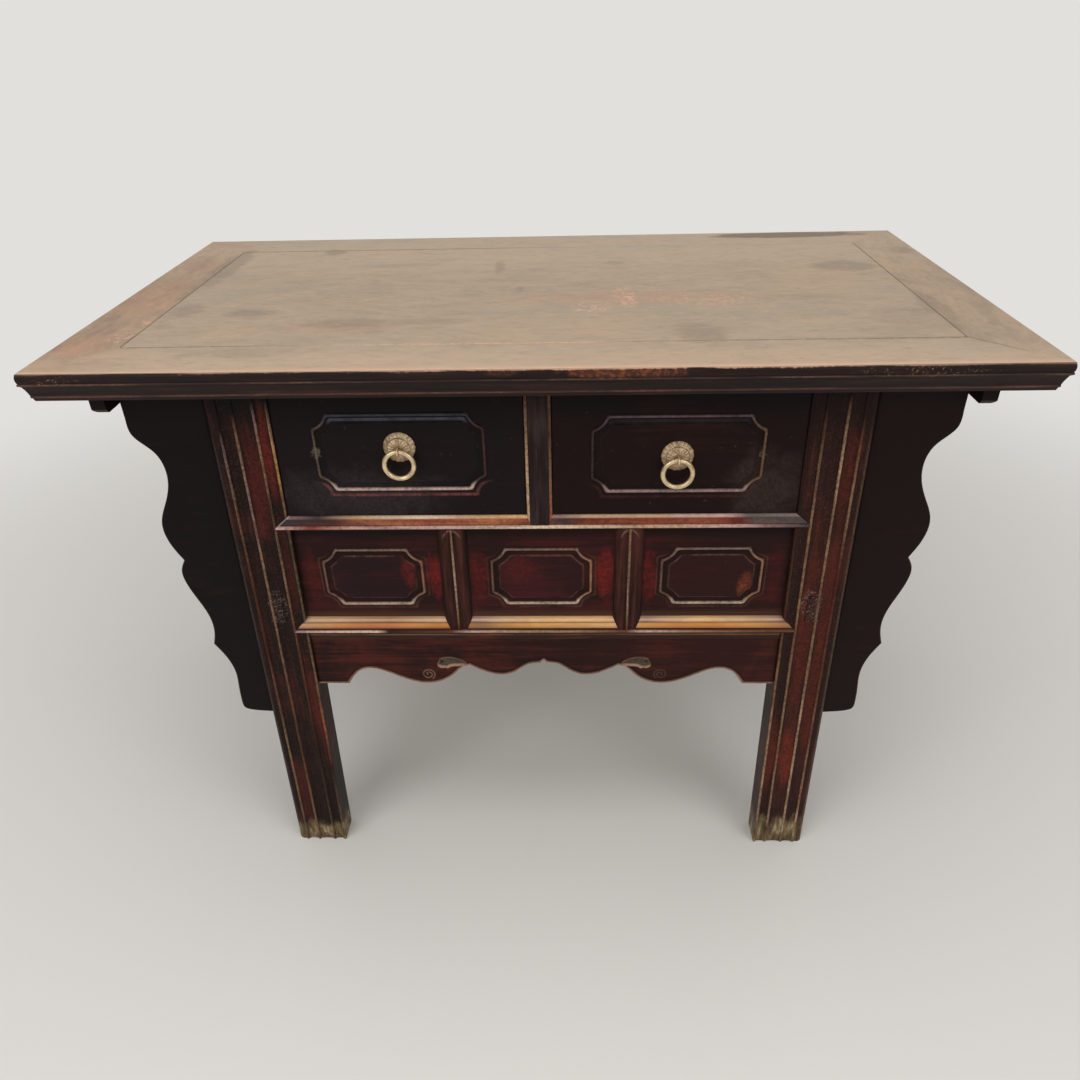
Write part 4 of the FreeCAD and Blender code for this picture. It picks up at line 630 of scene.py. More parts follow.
def panel_finish(name, centre_x, side_reds, field, glow, glow_place, glow_reach, shift):
    """Deep red lacquered panel with a worn cartouche, and a painted shadow of the drawer rail along
    its top.

    side_reds gives the strengths of the bright red at the left and right of the cartouche; glow is
    the warm colour of a mottled part of its field, with its place and half-sizes."""
    f = Finish(name)
    centre = (centre_x, PANEL_Z)
    colour = lacquer_ground(f, "x", (38, 20, 19), (66, 26, 24), 0.68, shift)
    mottle = f.noise(38.0, 5, 0.7, 2.0 + shift, 0.6, (1, 1, 0.5))
    grit = f.grit(0.34, 0.62, shift, 160.0)
    for sign, strength in zip((-1, 1), side_reds):
        red = f.patch(f.x, f.z, (centre_x + sign * 79 * MM, PANEL_Z), (15 * MM, 46 * MM),
                      1.0, (mottle - 0.5) * 2.8)
        colour = f.mix(red * (0.20 + grit * 0.60) * strength, colour, (118, 32, 28))
    # Painted shadow of the drawer rail across the panel's top.
    colour = f.mix(f.z.rise(PANEL_TOP - 20 * MM, PANEL_TOP - 6 * MM) * 0.75, colour, DUSK)
    bead = ((112, 88, 74), (150, 112, 86), (132, 110, 96), (190, 166, 146))
    colour, inset = cartouche_colour(f, colour, centre, PANEL_CARTOUCHE, bead,
                                     (-3.8 * MM, (104, 72, 58), 0.45, 0.50),
                                     ((104, 74, 62), 0.80), (BROWN_BLACK, 0.0))
    inside = inset.rise(FIELD_EDGE + 0.2 * MM, FIELD_EDGE + 2.4 * MM)
    ground = lacquer_ground(f, "x", field, (66, 25, 26), 0.55, shift + 3.0)
    warm = f.patch(f.x, f.z, (centre_x + glow_place[0], PANEL_Z + glow_place[1]), glow_reach, 1.0,
                   (mottle - 0.5) * 3.0)
    ground = f.mix(warm * (0.15 + grit * 0.65), ground, glow)
    dusty = f.grit(0.62, 0.76, 4.0 + shift, 90.0) * 0.25
    ground = f.mix(dusty, ground, (92, 62, 56))
    colour = f.mix(inside, colour, ground)
    foot = f.z.fall(PANEL_FLOOR + 3 * MM, PANEL_FLOOR + 13 * MM) * (1.0 - inside)
    colour = f.mix(foot * 0.45, colour, (84, 60, 42))
    return lacquer_surface(f, "x", colour, shift)


# The chip in each drawer's cartouche: its height, how far in from the bead's side, size, strength
CHIPS = {"left": (0.679, 1.0 * MM, 1.0, 0.85), "right": (0.673, 2.5 * MM, 0.7, 0.6)}


def drawer_finish(name, side, ground, ruddy, share, painted_sheen, bead, outer, field, sheen, shift):
    """Drawer front: near-black lacquer with a painted sheen low on its outer side and painted shade
    under the top, a cartouche whose bead is palest along the bottom, partly from wear and partly a
    painted highlight, and a chip in the bead at one side."""
    f = Finish(name)
    sign, raised = {"left": (-1, 7.0 * MM), "right": (1, 2.0 * MM)}[side]
    chip_z, chip_in, chip_size, chip_strength = CHIPS[side]
    centre = (sign * PULL_X, DRAWER_MIDDLE + raised)
    colour = lacquer_ground(f, "x", ground, ruddy, share, shift)
    mottle = f.noise(30.0, 5, 0.7, 5.5 + shift, 0.6)
    # A pale haze low on the outer side: painted sheen of the lacquer, broken by dust specks.
    painted_sheen_colour, haze_place, haze_reach = painted_sheen
    cloud = f.patch(f.x, f.z, haze_place, haze_reach, 1.0, (mottle - 0.5) * 2.0)
    dust_and_sheen = f.grit(0.36, 0.66, 6.0 + shift, 260.0)
    # The darkening under the top is painted shade of its overhang.
    colour = f.coats(colour, (cloud * (0.35 + dust_and_sheen * 0.45), painted_sheen_colour),
                     (f.z.rise(0.690, 0.748) * 0.75, DUSK))
    colour, _ = cartouche_colour(f, colour, centre, DRAWER_CARTOUCHE, bead, outer, field, sheen)
    chip_x = sign * (PULL_X + DRAWER_CARTOUCHE[0] - chip_in)
    chip_reach = (6.5 * MM * chip_size, 9.0 * MM * chip_size)
    ragged = (f.noise(210.0, 4, 0.7, 4.0 + shift) - 0.5) * 4.0
    chip = f.patch(f.x, f.z, (chip_x, chip_z), chip_reach, 0.6, ragged)
    chip = chip * (0.4 + f.grit(0.36, 0.56, 7.0) * 0.6) * chip_strength
    colour = f.mix(chip, colour, (104, 96, 80))
    scratch = f.grit(0.66, 0.72, 7.0 + shift, 110.0)
    colour = f.mix(scratch * 0.3, colour, (96, 84, 78))
    return lacquer_surface(f, "x", colour, shift)


# Heights of the drawer rail's forms
DRAWER_RAIL_HOLLOW = (0.5806, 0.5890)
DRAWER_RAIL_UPPER_BEAD = (0.5884, 0.5898)
DRAWER_RAIL_LOWER_BEAD = (0.5752, 0.5796)
# Where its beads end: x at the drawers' floor, and how fast that moves out further down
MITRE_X = 0.3072
MITRE_SLANT = 1.08


def drawer_rail_finish(name):
    """Rail under the drawers: its beads rubbed pale, the upper bead and the top face above it also
    painted pale as a highlight where they face up, its hollow orange-red in long worn runs, and
    both ends still grey-black."""
    f = Finish(name)
    rubbed = f.noise(9.0, 5, 0.65, 3.0, 0.6, (1, 10, 10))
    grit = f.grit(0.36, 0.60, 8.0)
    colour = lacquer_ground(f, "x", (46, 24, 20), (88, 36, 28), 0.6, 11.0)
    hollow = f.run(f.x, (-0.315, SLATE), (-0.25, (84, 52, 46)), (-0.20, (192, 116, 80)),
                   (-0.13, (160, 80, 58)), (-0.06, (196, 118, 80)),
                   (-0.015, (156, 84, 62)), (0.03, SLATE), (0.06, WORN_RED),
                   (0.20, (162, 84, 60)), (0.24, RED), (0.262, (92, 84, 80)),
                   (0.315, (88, 82, 80)))
    dip = f.z.within(*DRAWER_RAIL_HOLLOW, 0.7 * MM) * (0.55 + rubbed.rise(0.34, 0.58) * 0.45)
    colour = f.mix(dip * (0.55 + grit * 0.45), colour, hollow)
    # Upper bead and top face: rubbed pale, and a painted highlight where they face up.
    upper = f.run(f.x, (-0.315, MAUVE), (-0.27, SLATE), (-0.215, PALE_TAN), (-0.14, CREAM),
                  (-0.09, PALE_TAN), (-0.015, PALE_GOLD), (0.02, MAUVE), (0.06, PALE_TAN),
                  (0.15, PALE_TAN), (0.17, PINK), (0.225, PINK), (0.25, (104, 94, 88)),
                  (0.315, (134, 120, 116)))
    colour = f.mix(f.z.rise(*DRAWER_RAIL_UPPER_BEAD) * (0.74 + grit * 0.24), colour, upper)
    lower = f.run(f.x, (-0.325, PINK), (-0.28, WORN_RED), (-0.22, PINK), (-0.10, PINK),
                  (0.00, CREAM), (0.12, PALE_TAN), (0.24, PINK), (0.27, MAUVE), (0.325, SLATE))
    strength = (0.55 + rubbed.rise(0.36, 0.52) * 0.45) * (0.60 + grit * 0.40)
    colour = f.mix(f.z.within(*DRAWER_RAIL_LOWER_BEAD, 0.5 * MM) * strength, colour, lower)
    mitre = abs(f.x) - (MITRE_X + (DRAWER_FLOOR - f.z) * MITRE_SLANT)
    pale = mitre.near(-0.8 * MM, 2.2 * MM) * f.x.fall(0.0, 0.01)
    colour = f.mix(pale * (0.4 + grit * 0.4), colour, (188, 166, 166))
    return f.surface(colour=colour, roughness=0.34 + rubbed * 0.16, specular=0.15,
                     normal=f.bump(rubbed * 0.6 + grit * 0.4, 0.15 * MM))


# Heights of the lower rail's forms: its slope's foot, the line between its bands, bead, fillet
SLOPE_FOOT = 0.4214
SLOPE_LINE = 0.4292
LOWER_RAIL_BEAD = (0.4150, 0.4184)
LOWER_RAIL_FILLET = 0.4095


def lower_rail_finish(name):
    """Rail under the panels: a golden slope in two bands with a dark line between, partly bare wood
    and partly a painted reflection of light from above on the upward-facing slope, a bead rubbed
    pale in long runs, and a dark fillet."""
    f = Finish(name)
    rubbed = f.noise(9.0, 5, 0.65, 5.0, 0.6, (1, 10, 10))
    mottle = f.noise(80.0, 5, 0.7, 8.0, 0.5, (0.4, 1, 1)).rise(0.34, 0.64)
    grit = f.grit(0.36, 0.60, 9.0)
    colour = lacquer_ground(f, "x", (46, 25, 19), (88, 44, 28), 0.6, 12.0)
    # The slope's gold is partly bare wood and partly a painted reflection of light from above; its
    # palest band near the top is painted highlight.
    upper = f.run(f.x, (-0.315, PALE_TAN), (-0.20, TAN), (-0.13, PALE_TAN), (-0.09, MAUVE),
                  (-0.05, PALE_TAN), (0.0, PALE_GOLD), (0.08, PALE_GOLD), (0.11, PALE_TAN),
                  (0.135, MAUVE), (0.17, PALE_TAN), (0.21, PALE_GOLD), (0.26, PALE_TAN),
                  (0.315, MAUVE))
    upper = f.coats(upper, (f.z.near(0.4328, 2.6 * MM) * 0.45, (240, 214, 178)),
                    (f.z.rise(0.4335, 0.4370) * 0.50, (140, 98, 60)))
    lower = f.run(f.x, (-0.325, PALE_TAN), (-0.27, (204, 136, 78)), (-0.22, (196, 118, 78)),
                  (-0.17, (204, 138, 80)), (-0.125, AMBER), (-0.08, TAN), (-0.03, GOLD),
                  (0.09, PALE_GOLD), (0.16, (208, 140, 74)), (0.22, (206, 136, 72)),
                  (0.28, GOLD), (0.325, TAN))
    lower = f.mix(f.z.fall(0.4222, 0.4262) * 0.62, lower, (134, 76, 38))
    slope = f.z.rise(SLOPE_FOOT, SLOPE_FOOT + MM) * (f.y - FRONT).fall(8.6 * MM, 9.4 * MM)
    gold = f.mix(f.z.rise(SLOPE_LINE - 0.8 * MM, SLOPE_LINE + 0.8 * MM), lower, upper)
    gold = f.coats(gold, (mottle * 0.24, (154, 98, 54)),
                   (f.z.near(SLOPE_LINE, 1.2 * MM) * 0.65, (84, 48, 30)))
    colour = f.mix(slope * 0.96, colour, gold)
    bead = f.run(f.x, (-0.335, MAUVE), (-0.30, PINK), (-0.22, CREAM), (-0.205, BROWN_BLACK),
                 (-0.12, BROWN), (-0.09, PINK), (-0.03, PALE_TAN), (0.05, TAN), (0.11, BROWN),
                 (0.13, PINK), (0.20, TAN), (0.30, BROWN), (0.335, BROWN))
    strength = (0.65 + rubbed.rise(0.36, 0.52) * 0.35) * (0.62 + grit * 0.38)
    colour = f.mix(f.z.within(*LOWER_RAIL_BEAD, 0.6 * MM) * strength, colour, bead)
    fillet = f.z.near(LOWER_RAIL_FILLET, 2.2 * MM) * (f.y - FRONT).rise(2.0 * MM, 3.6 * MM)
    colour = f.mix(fillet * (0.20 + rubbed.rise(0.4, 0.6) * 0.5), colour, (138, 92, 66))
    return f.surface(colour=colour, roughness=0.34 + rubbed * 0.16, specular=0.15,
                     normal=f.bump(rubbed * 0.6 + mottle * 0.4, 0.15 * MM))


def bare_wood(name, along):
    """Unfinished softwood, dusty and darkened with age."""
    f = Finish(name)
    streak = f.streaks(along, 7.0, 0.5)
    pore = f.streaks(along, 40.0, 1.5, 0.1)
    cloud = f.noise(4.0, 5, 0.6, 2.5, 0.6)
    colour = f.ramp(streak, (0.25, (104, 78, 54)), (0.5, (138, 107, 76)),
                    (0.8, (164, 132, 96)))
    colour = f.coats(colour, (cloud.rise(0.45, 0.75) * 0.5, (88, 68, 50)),
                     (pore.rise(0.55, 0.8) * 0.35, (74, 54, 38)))
    return f.surface(colour=colour, roughness=0.68 + streak * 0.15, specular=0.3,
                     normal=f.bump(streak * 0.5 + pore * 0.5, 0.25 * MM))


def brass(name, dull, middle, bright, rough):
    """Pale cast brass, dulled in its hollows and rubbed bright."""
    f = Finish(name)
    cloud = f.noise(160.0, 5, 0.65, 1.0, 0.6)
    fine = f.noise(900.0, 3, 0.6)
    colour = f.ramp(cloud, (0.30, dull), (0.52, middle), (0.75, bright))
    return f.surface(colour=colour, roughness=rough + cloud * 0.20, metal=0.7, specular=0.5,
                     normal=f.bump(cloud * 0.6 + fine * 0.4, 0.05 * MM))


def carved_finish(name, ground, ruddy, share, bare, right_ruddy):
    """Lacquer on a carved board, redder at the right by right_ruddy; three point attributes say
    where it is rubbed through, also carrying a painted highlight on the apron leaf's lower lip,
    where its hollows are darker, and where the leaf's dish is greyish."""
    f = Finish(name)
    colour = lacquer_ground(f, "x", ground, ruddy, share, 4.0)
    colour = f.mix(f.x.rise(-0.05, 0.20) * right_ruddy, colour, ruddy)
    grit = f.grit(0.36, 0.60, 2.0)
    worn, dirt, film = (f.add("ShaderNodeAttribute", {"attribute_name": label}, out="Fac")
                        for label in ("worn", "dirt", "film"))
    rubbed = f.noise(70.0, 4, 0.6, 2.0).rise(0.34, 0.52)
    # Rubbed-through places with the painted lip highlight, darker hollows, and a greyish dish.
    colour = f.coats(colour, (worn * (0.30 + rubbed * 0.35 + grit * 0.35), bare),
                     (dirt * 0.8, (30, 26, 22)), (film * (0.45 + grit * 0.40), (88, 82, 70)))
    return lacquer_surface(f, "x", colour, 4.0)


# Surfaces

def smooth_run(points, pitch):
    """A curve through the points: natural cubic splines over chord length, evenly sampled."""
    points = np.asarray(points, float)
    chord = np.r_[0, np.cumsum(np.linalg.norm(np.diff(points, axis=0), axis=1))]
    count = len(points)
    gap = np.diff(chord)
    matrix = np.eye(count)
    right = np.zeros((count, 2))
    for row in range(1, count - 1):
        matrix[row, row - 1:row + 2] = gap[row - 1], 2 * (gap[row - 1] + gap[row]), gap[row]
        right[row] = 6 * ((points[row + 1] - points[row]) / gap[row]
                          - (points[row] - points[row - 1]) / gap[row - 1])
    bend = np.linalg.solve(matrix, right)
    at = np.linspace(0, chord[-1], max(2, int(round(chord[-1] / pitch)) + 1))
    span = np.clip(np.searchsorted(chord, at, side="right") - 1, 0, count - 2)
    h = gap[span][:, None]
    back = (chord[span + 1] - at)[:, None]
    ahead = (at - chord[span])[:, None]
    low, high = points[span], points[span + 1]
    return ((bend[span] * back ** 3 + bend[span + 1] * ahead ** 3) / (6 * h)
            + (low / h - bend[span] * h / 6) * back + (high / h - bend[span + 1] * h / 6) * ahead)


def make_piece(name, points, faces, body, finish, marks=None):
    """Puts computed points and faces into a piece that rides on a body."""
    mesh = bpy.data.meshes.new(name)
    mesh.from_pydata(points.tolist(), [], faces)
    mesh.polygons.foreach_set("use_smooth", np.full(len(mesh.polygons), True))
    for label, values in (marks or {}).items():
        layer = mesh.attributes.new(label, "FLOAT", "POINT")
        layer.data.foreach_set("value", np.asarray(values, np.float32))
    mesh.materials.append(finish)
    mesh.update()
    piece = bpy.data.objects.new(name, mesh)
    bpy.context.scene.collection.objects.link(piece)
    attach(piece, body)
    return piece


def grid_faces(rows, columns, close_rows=False, close_columns=False):
    """Quads between neighbouring rows and columns of a grid of points."""
    row = np.arange(rows if close_rows else rows - 1)
    column = np.arange(columns if close_columns else columns - 1)
    i, j = np.meshgrid(row, column, indexing="ij")
    a = i * columns + j
    b = i * columns + (j + 1) % columns
    c = (i + 1) % rows * columns + (j + 1) % columns
    d = (i + 1) % rows * columns + j
    return np.stack([a, b, c, d], -1).reshape(-1, 4).tolist()


def edge_distance(points, edge):
    """Distance from each point of a grid to an edge line whose samples match its rows."""
    start, end = edge[:-1], edge[1:]
    best = np.full(points.shape[:2], 1e9)
    count = len(edge)
    for offset in range(-16, 17):
        k = np.clip(np.arange(count) + offset, 0, count - 2)
        a, b = start[k][:, None], end[k][:, None]
        along = b - a
        share = ((points - a) * along).sum(-1) / np.maximum((along ** 2).sum(-1), 1e-12)
        nearest = a + along * np.clip(share, 0, 1)[..., None]
        best = np.minimum(best, np.linalg.norm(points - nearest, axis=-1))
    return best


def line_distance(points, line):
    """Distance from each point to the nearest sample of a line, and that sample's number."""
    flat = points.reshape(-1, 2)
    gaps = np.linalg.norm(flat[:, None] - line[None], axis=-1)
    nearest = gaps.argmin(1)
    return gaps.min(1).reshape(points.shape[:-1]), nearest.reshape(points.shape[:-1])


def hump(distance, width):
    """A rounded ridge: the square of one minus the squared share of its half-width."""
    return np.clip(1 - (distance / width) ** 2, 0, 1) ** 2


def carved_board(name, edge, heel, face, look, lines, relief, turned, finish):
    """A board between a scalloped edge and a plain heel line.

    Point (i, j) lies on the line from edge[i] to heel[i], lines[j] of the way. The front looks
    along look times Y and stands relief(point, distance to the edge) proud of the face; its arris
    is rounded. The back is flat. turned is true where the plain order of points in a face would
    face inwards."""
    rows, columns = len(edge), len(lines)
    flat = edge[:, None] + (heel - edge)[:, None] * lines[None, :, None]
    distance = edge_distance(flat, edge)
    lift, marks = relief(flat, distance)
    arris = 1.2 * MM
    fall = arris - np.sqrt(np.maximum(arris ** 2 - np.maximum(arris - distance, 0) ** 2, 0))
    front = np.stack([flat[..., 0], face + look * (lift - fall), flat[..., 1]], -1)
    level = np.full(rows, face - look * BOARD_THICKNESS)
    back = [np.stack([side[:, 0], level, side[:, 1]], -1) for side in (flat[:, 0], flat[:, -1])]
    points = np.concatenate([front.reshape(-1, 3)] + back)
    total = rows * columns
    i = np.arange(rows - 1)
    edge_front, heel_front = i * columns, i * columns + columns - 1
    edge_back, heel_back = total + i, total + rows + i
    faces = grid_faces(rows, columns)
    for corners in ([edge_front, edge_front + columns, edge_back + 1, edge_back],
                    [heel_back, heel_back + 1, heel_front + columns, heel_front],
                    [edge_back + 1, heel_back + 1, heel_back, edge_back]):
        faces += np.stack(corners, -1).tolist()
    first = list(range(columns)) + [total + rows, total]
    last = [total - columns + j for j in range(columns)] + [total + 2 * rows - 1, total + rows - 1]
    faces += [first[::-1], last]
    if turned:
        faces = [corners[::-1] for corners in faces]
    pads = {"worn": np.r_[np.full(rows, 0.25), np.zeros(rows)]}
    marks = {label: np.r_[values.ravel(), pads.get(label, np.zeros(2 * rows))]
             for label, values in marks.items()}
    return make_piece(name, points, faces, "table", finish, marks)


# Apron and spandrels

APRON_HALF = leg_outer(RAIL_FOOT - APRON_DROP) - LEG_WIDTH
# Runs of the apron's lower edge, as shares of its half-length and of its drop
PEAK_RUN = ((0.0, 0.4825), (0.0143, 0.5375))
MIDDLE_RUN = ((0.0143, 0.5375), (0.067, 0.5775), (0.119, 0.725), (0.172, 0.80), (0.262, 0.725),
              (0.324, 0.5875))
LOBE_RUN = ((0.324, 0.5875), (0.353, 0.6375), (0.391, 0.781), (0.447, 0.9375), (0.502, 0.99),
            (0.604, 0.906), (0.70, 0.72), (0.755, 0.66), (0.795, 0.69), (0.865, 1.0))
END_RUN = ((0.865, 1.0), (1.0, 1.0))
LEAF_AXIS = ((-0.1385, 0.3565), (-0.130, 0.3605), (-0.118, 0.3600), (-0.105, 0.3568))
LEAF_EYE = (-0.1385, 0.3590)
COIL_CENTRE = (-0.1587, 0.3388)
CARVING_X = -0.130
CARVING_REACH = 0.045


def edge_line(runs, corner, size, pitch):
    """A line through runs of (across, down) shares of a size, measured from a corner."""
    parts = [smooth_run([(corner[0] + size[0] * across, corner[1] - size[1] * down)
                         for across, down in run], pitch) for run in runs]
    return np.concatenate([part[:-1] for part in parts[:-1]] + [parts[-1]])


def apron_edge():
    """The apron's lower edge from the left leg to the right one, as (x, z)."""
    right = edge_line((PEAK_RUN, MIDDLE_RUN, LOBE_RUN, END_RUN), (0, RAIL_FOOT),
                      (APRON_HALF, APRON_DROP), 0.8 * MM)
    left = right[::-1] * (-1, 1)
    return np.concatenate([left[:-1], right])


def curl(centre, start_angle, turns, outer, inner):
    """A spiral whose radius shrinks with its angle, slowly at first."""
    share = np.linspace(0, 1, 90)
    angle = start_angle + turns * 2 * math.pi * share
    radius = outer + (inner - outer) * share ** 1.3
    return np.stack([centre[0] + radius * np.cos(angle), centre[1] + radius * np.sin(angle)], -1)


def leaf_axis():
    """Middle line of the left leaf, from its round end to its tip, and its half-widths."""
    line = smooth_run(LEAF_AXIS, 0.6 * MM)
    share = np.linspace(0, 1, len(line))
    width = 9.5 * MM * np.sqrt(np.clip(1 - share, 0, 1)) * np.clip(share * 9 + 0.35, 0, 1) ** 0.5
    return line, width


def apron_relief(flat, distance):
    """Lift and marks of the apron's face.

    A half-round bead follows the edge with a quirk behind it. On each side a dished leaf with a
    raised rim, palest along its lower lip where a highlight is painted, ends at the cusp, and a
    curl grows out of the edge bead below it; the right-hand ones are worn down. The hollows are
    marked darker and the dish greyish."""
    bead = hump(distance - 1.9 * MM, 2.0 * MM)
    quirk = hump(distance - 4.3 * MM, 1.1 * MM)
    lift = 1.4 * MM * bead - 0.7 * MM * quirk
    worn = np.clip(bead * 0.9, 0, 1)
    # Darker in the quirk behind the bead.
    dirt = quirk * 0.9
    film = np.zeros_like(dirt)
    axis, width = leaf_axis()
    for side, strength, curled in ((-1, 1.0, 1.0), (1, 0.9, 0.3)):
        mirrored = flat * (-side, 1)
        near = np.abs(mirrored[..., 0] - CARVING_X) < CARVING_REACH
        spots = mirrored[near]
        gap, nearest = line_distance(spots, axis)
        share = gap / np.maximum(width[nearest], 0.4 * MM)
        dish = np.clip(1 - share ** 2, 0, 1)
        below = np.clip((axis[nearest, 1] - spots[..., 1]) / (1.5 * MM), 0, 1)
        rim = hump(gap - width[nearest], 1.7 * MM)
        # The lower lip is a painted highlight where the dish's edge faces up; it rides in the worn
        # mark.
        lip = below * hump(gap - width[nearest] * 0.85, 2.6 * MM)
        eye = hump(np.linalg.norm(spots - LEAF_EYE, axis=-1), 3.0 * MM)
        line = curl(COIL_CENTRE, math.radians(-52), 1.8, 9.0 * MM, 1.2 * MM)
        coil_gap, _ = line_distance(spots, line)
        coil = hump(coil_gap, 1.6 * MM) * curled
        ground = hump(np.linalg.norm(spots - COIL_CENTRE, axis=-1), 11.0 * MM) * curled
        keep = 1 - np.clip(dish * 3, 0, 1)
        raised = 1.1 * rim - 2.6 * dish - 1.2 * eye + 1.3 * coil - 0.8 * ground
        lift[near] = lift[near] * (1 - 0.7 * ground * strength) * keep + strength * raised * MM
        worn[near] = np.clip(worn[near] * keep * (1 - 0.6 * ground * strength)
                             + strength * (0.7 * rim + 0.7 * coil + 1.5 * lip), 0, 1.6)
        dirt[near] = np.clip(dirt[near] * keep + strength * (0.6 * dish * (1 - lip) + eye
                                                             + 0.35 * ground * (1 - coil)), 0, 1)
        # The dish is greyish inside, except along the lip and at the eye.
        film[near] = np.clip(dish * 2.0, 0, 1) * (1 - np.clip(lip * 1.5, 0, 1)) * (1 - eye)
    return lift, {"worn": worn, "dirt": dirt, "film": film}


def make_apron(finish):
    """Carved apron in place of the plain one."""
    edge = apron_edge()
    reach = leg_outer(RAIL_FOOT) - LEG_WIDTH
    heel = np.stack([edge[:, 0] / APRON_HALF * reach, np.full(len(edge), RAIL_FOOT)], -1)
    lines = np.linspace(0, 1, 76) ** 1.3
    piece = carved_board("front_apron_carved", edge, heel, APRON_FACE, -1, lines, apron_relief,
                         True, finish)
    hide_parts("front_apron")


# Runs of the spandrel's edge from top to toe, as shares of its reach and of its drop
TOP_RUN = ((1.0, 0.0), (1.0, 0.085))
HEAD_RUN = ((1.0, 0.085), (0.985, 0.124), (0.78, 0.170), (0.70, 0.235), (0.80, 0.303),
            (0.94, 0.372), (0.90, 0.432), (0.79, 0.478))
WAIST_RUN = ((0.79, 0.478), (0.865, 0.512), (0.855, 0.545), (0.75, 0.608), (0.67, 0.660),
             (0.665, 0.708), (0.718, 0.751))
TAIL_RUN = ((0.718, 0.751), (0.60, 0.795), (0.528, 0.850), (0.545, 0.920), (0.553, 0.965))
TOE_RUN = ((0.553, 0.965), (0.53, 0.985), (0.45, 0.993), (0.28, 0.998))
FOOT_RUN = ((0.28, 0.998), (0.13, 1.0))


def spandrel_edge():
    """The right-hand spandrel's outer edge from top to toe, as (x, z)."""
    return edge_line((TOP_RUN, HEAD_RUN, WAIST_RUN, TAIL_RUN, TOE_RUN, FOOT_RUN),
                     (leg_outer(UNDER_TOP), UNDER_TOP), (SPANDREL_REACH, SPANDREL_DROP), 1.1 * MM)


def spandrel_relief(flat, distance):
    """Lift and marks of a spandrel's face: flat, its arris rubbed more towards the foot."""
    low = np.clip((0.62 - flat[..., 1]) / 0.25, 0.12, 0.95)
    rubbed = hump(distance, 1.8 * MM) * low
    return np.zeros_like(distance), {"worn": rubbed}


def make_spandrels(finish):
    """Spandrels with a rounded, rubbed arris in place of the plain ones."""
    edge = spandrel_edge()
    level = np.linspace(UNDER_TOP, UNDER_TOP - SPANDREL_DROP, len(edge))
    heel = np.stack([leg_outer(level), level], -1)
    lines = np.r_[np.linspace(0, 0.10, 18)[:-1], np.linspace(0.10, 1, 14)]
    for side, sign in SIDES:
        for row, look in (("front", -1), ("rear", 1)):
            piece = carved_board("spandrel_" + row + "_" + side + "_cut", edge * (sign, 1),
                                 heel * (sign, 1), -look * SPANDREL_FACE, look, lines,
                                 spandrel_relief, sign == look, finish)
            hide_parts("spandrel_" + row + "_" + side)


# Pulls

def make_rosette(side, sign, finish):
    """Cast rosette: the height falls from the boss to the rim as 1 - (r / R) ** 2.4, with petals
    as |cos 9a| ridges and a scalloped rim. The loop of radii closes along the seat."""
    radius, hole, height = 19.3 * MM, 2.6 * MM, 8.0 * MM
    petals, petal_foot, boss_foot = 18, 0.72, 0.26
    angle = np.linspace(0, 2 * math.pi, 225)[:-1]
    r = np.r_[np.linspace(1, 0.97, 3)[:-1], np.linspace(0.97, hole / radius, 44)]
    r, a = np.meshgrid(r, angle, indexing="ij")
    ridge = np.abs(np.cos(petals / 2 * a))
    outer = np.clip((r - petal_foot) / 0.10, 0, 1)
    inner = np.clip((r - boss_foot) / 0.12, 0, 1) * (1 - outer)
    inner_ridge = np.abs(np.sin(petals / 2 * a))
    dome = height * np.clip(1 - r ** 2.4, 0, 1) ** 0.8
    step = 1.1 * MM * np.clip((petal_foot - r) / 0.05, 0, 1)
    flutes = 0.5 * MM * (ridge - 0.75) * outer * np.clip((1 - r) / 0.06, 0, 1)
    flutes += 0.55 * MM * (inner_ridge - 0.7) * inner
    lift = np.clip(dome * 0.9 + step + flutes, 0, height)
    lift[0] = 0
    lift[1] = np.maximum(lift[1], 0.7 * MM)
    lift[2] = np.maximum(lift[2], 0.9 * MM)
    reach = radius * r * (1 - 0.035 * (1 - ridge) * np.clip((r - 0.6) / 0.4, 0, 1))
    base = np.stack([reach[-1], reach[0]])
    reach = np.concatenate([reach, base])
    lift = np.concatenate([lift, np.zeros_like(base)])
    a = np.concatenate([a, a[:2]])
    points = np.stack([sign * PULL_X + reach * np.cos(a), DRAWER_FACE - lift,
                       PULL_Z[side] + reach * np.sin(a)], -1)
    points = points[:-1]
    rows, columns = points.shape[:2]
    faces = grid_faces(rows, columns, close_rows=True, close_columns=True)
    piece = make_piece("rosette_" + side, points.reshape(-1, 3), faces, "drawer_" + side, finish)
    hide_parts("drawer_" + side + "_rosette")


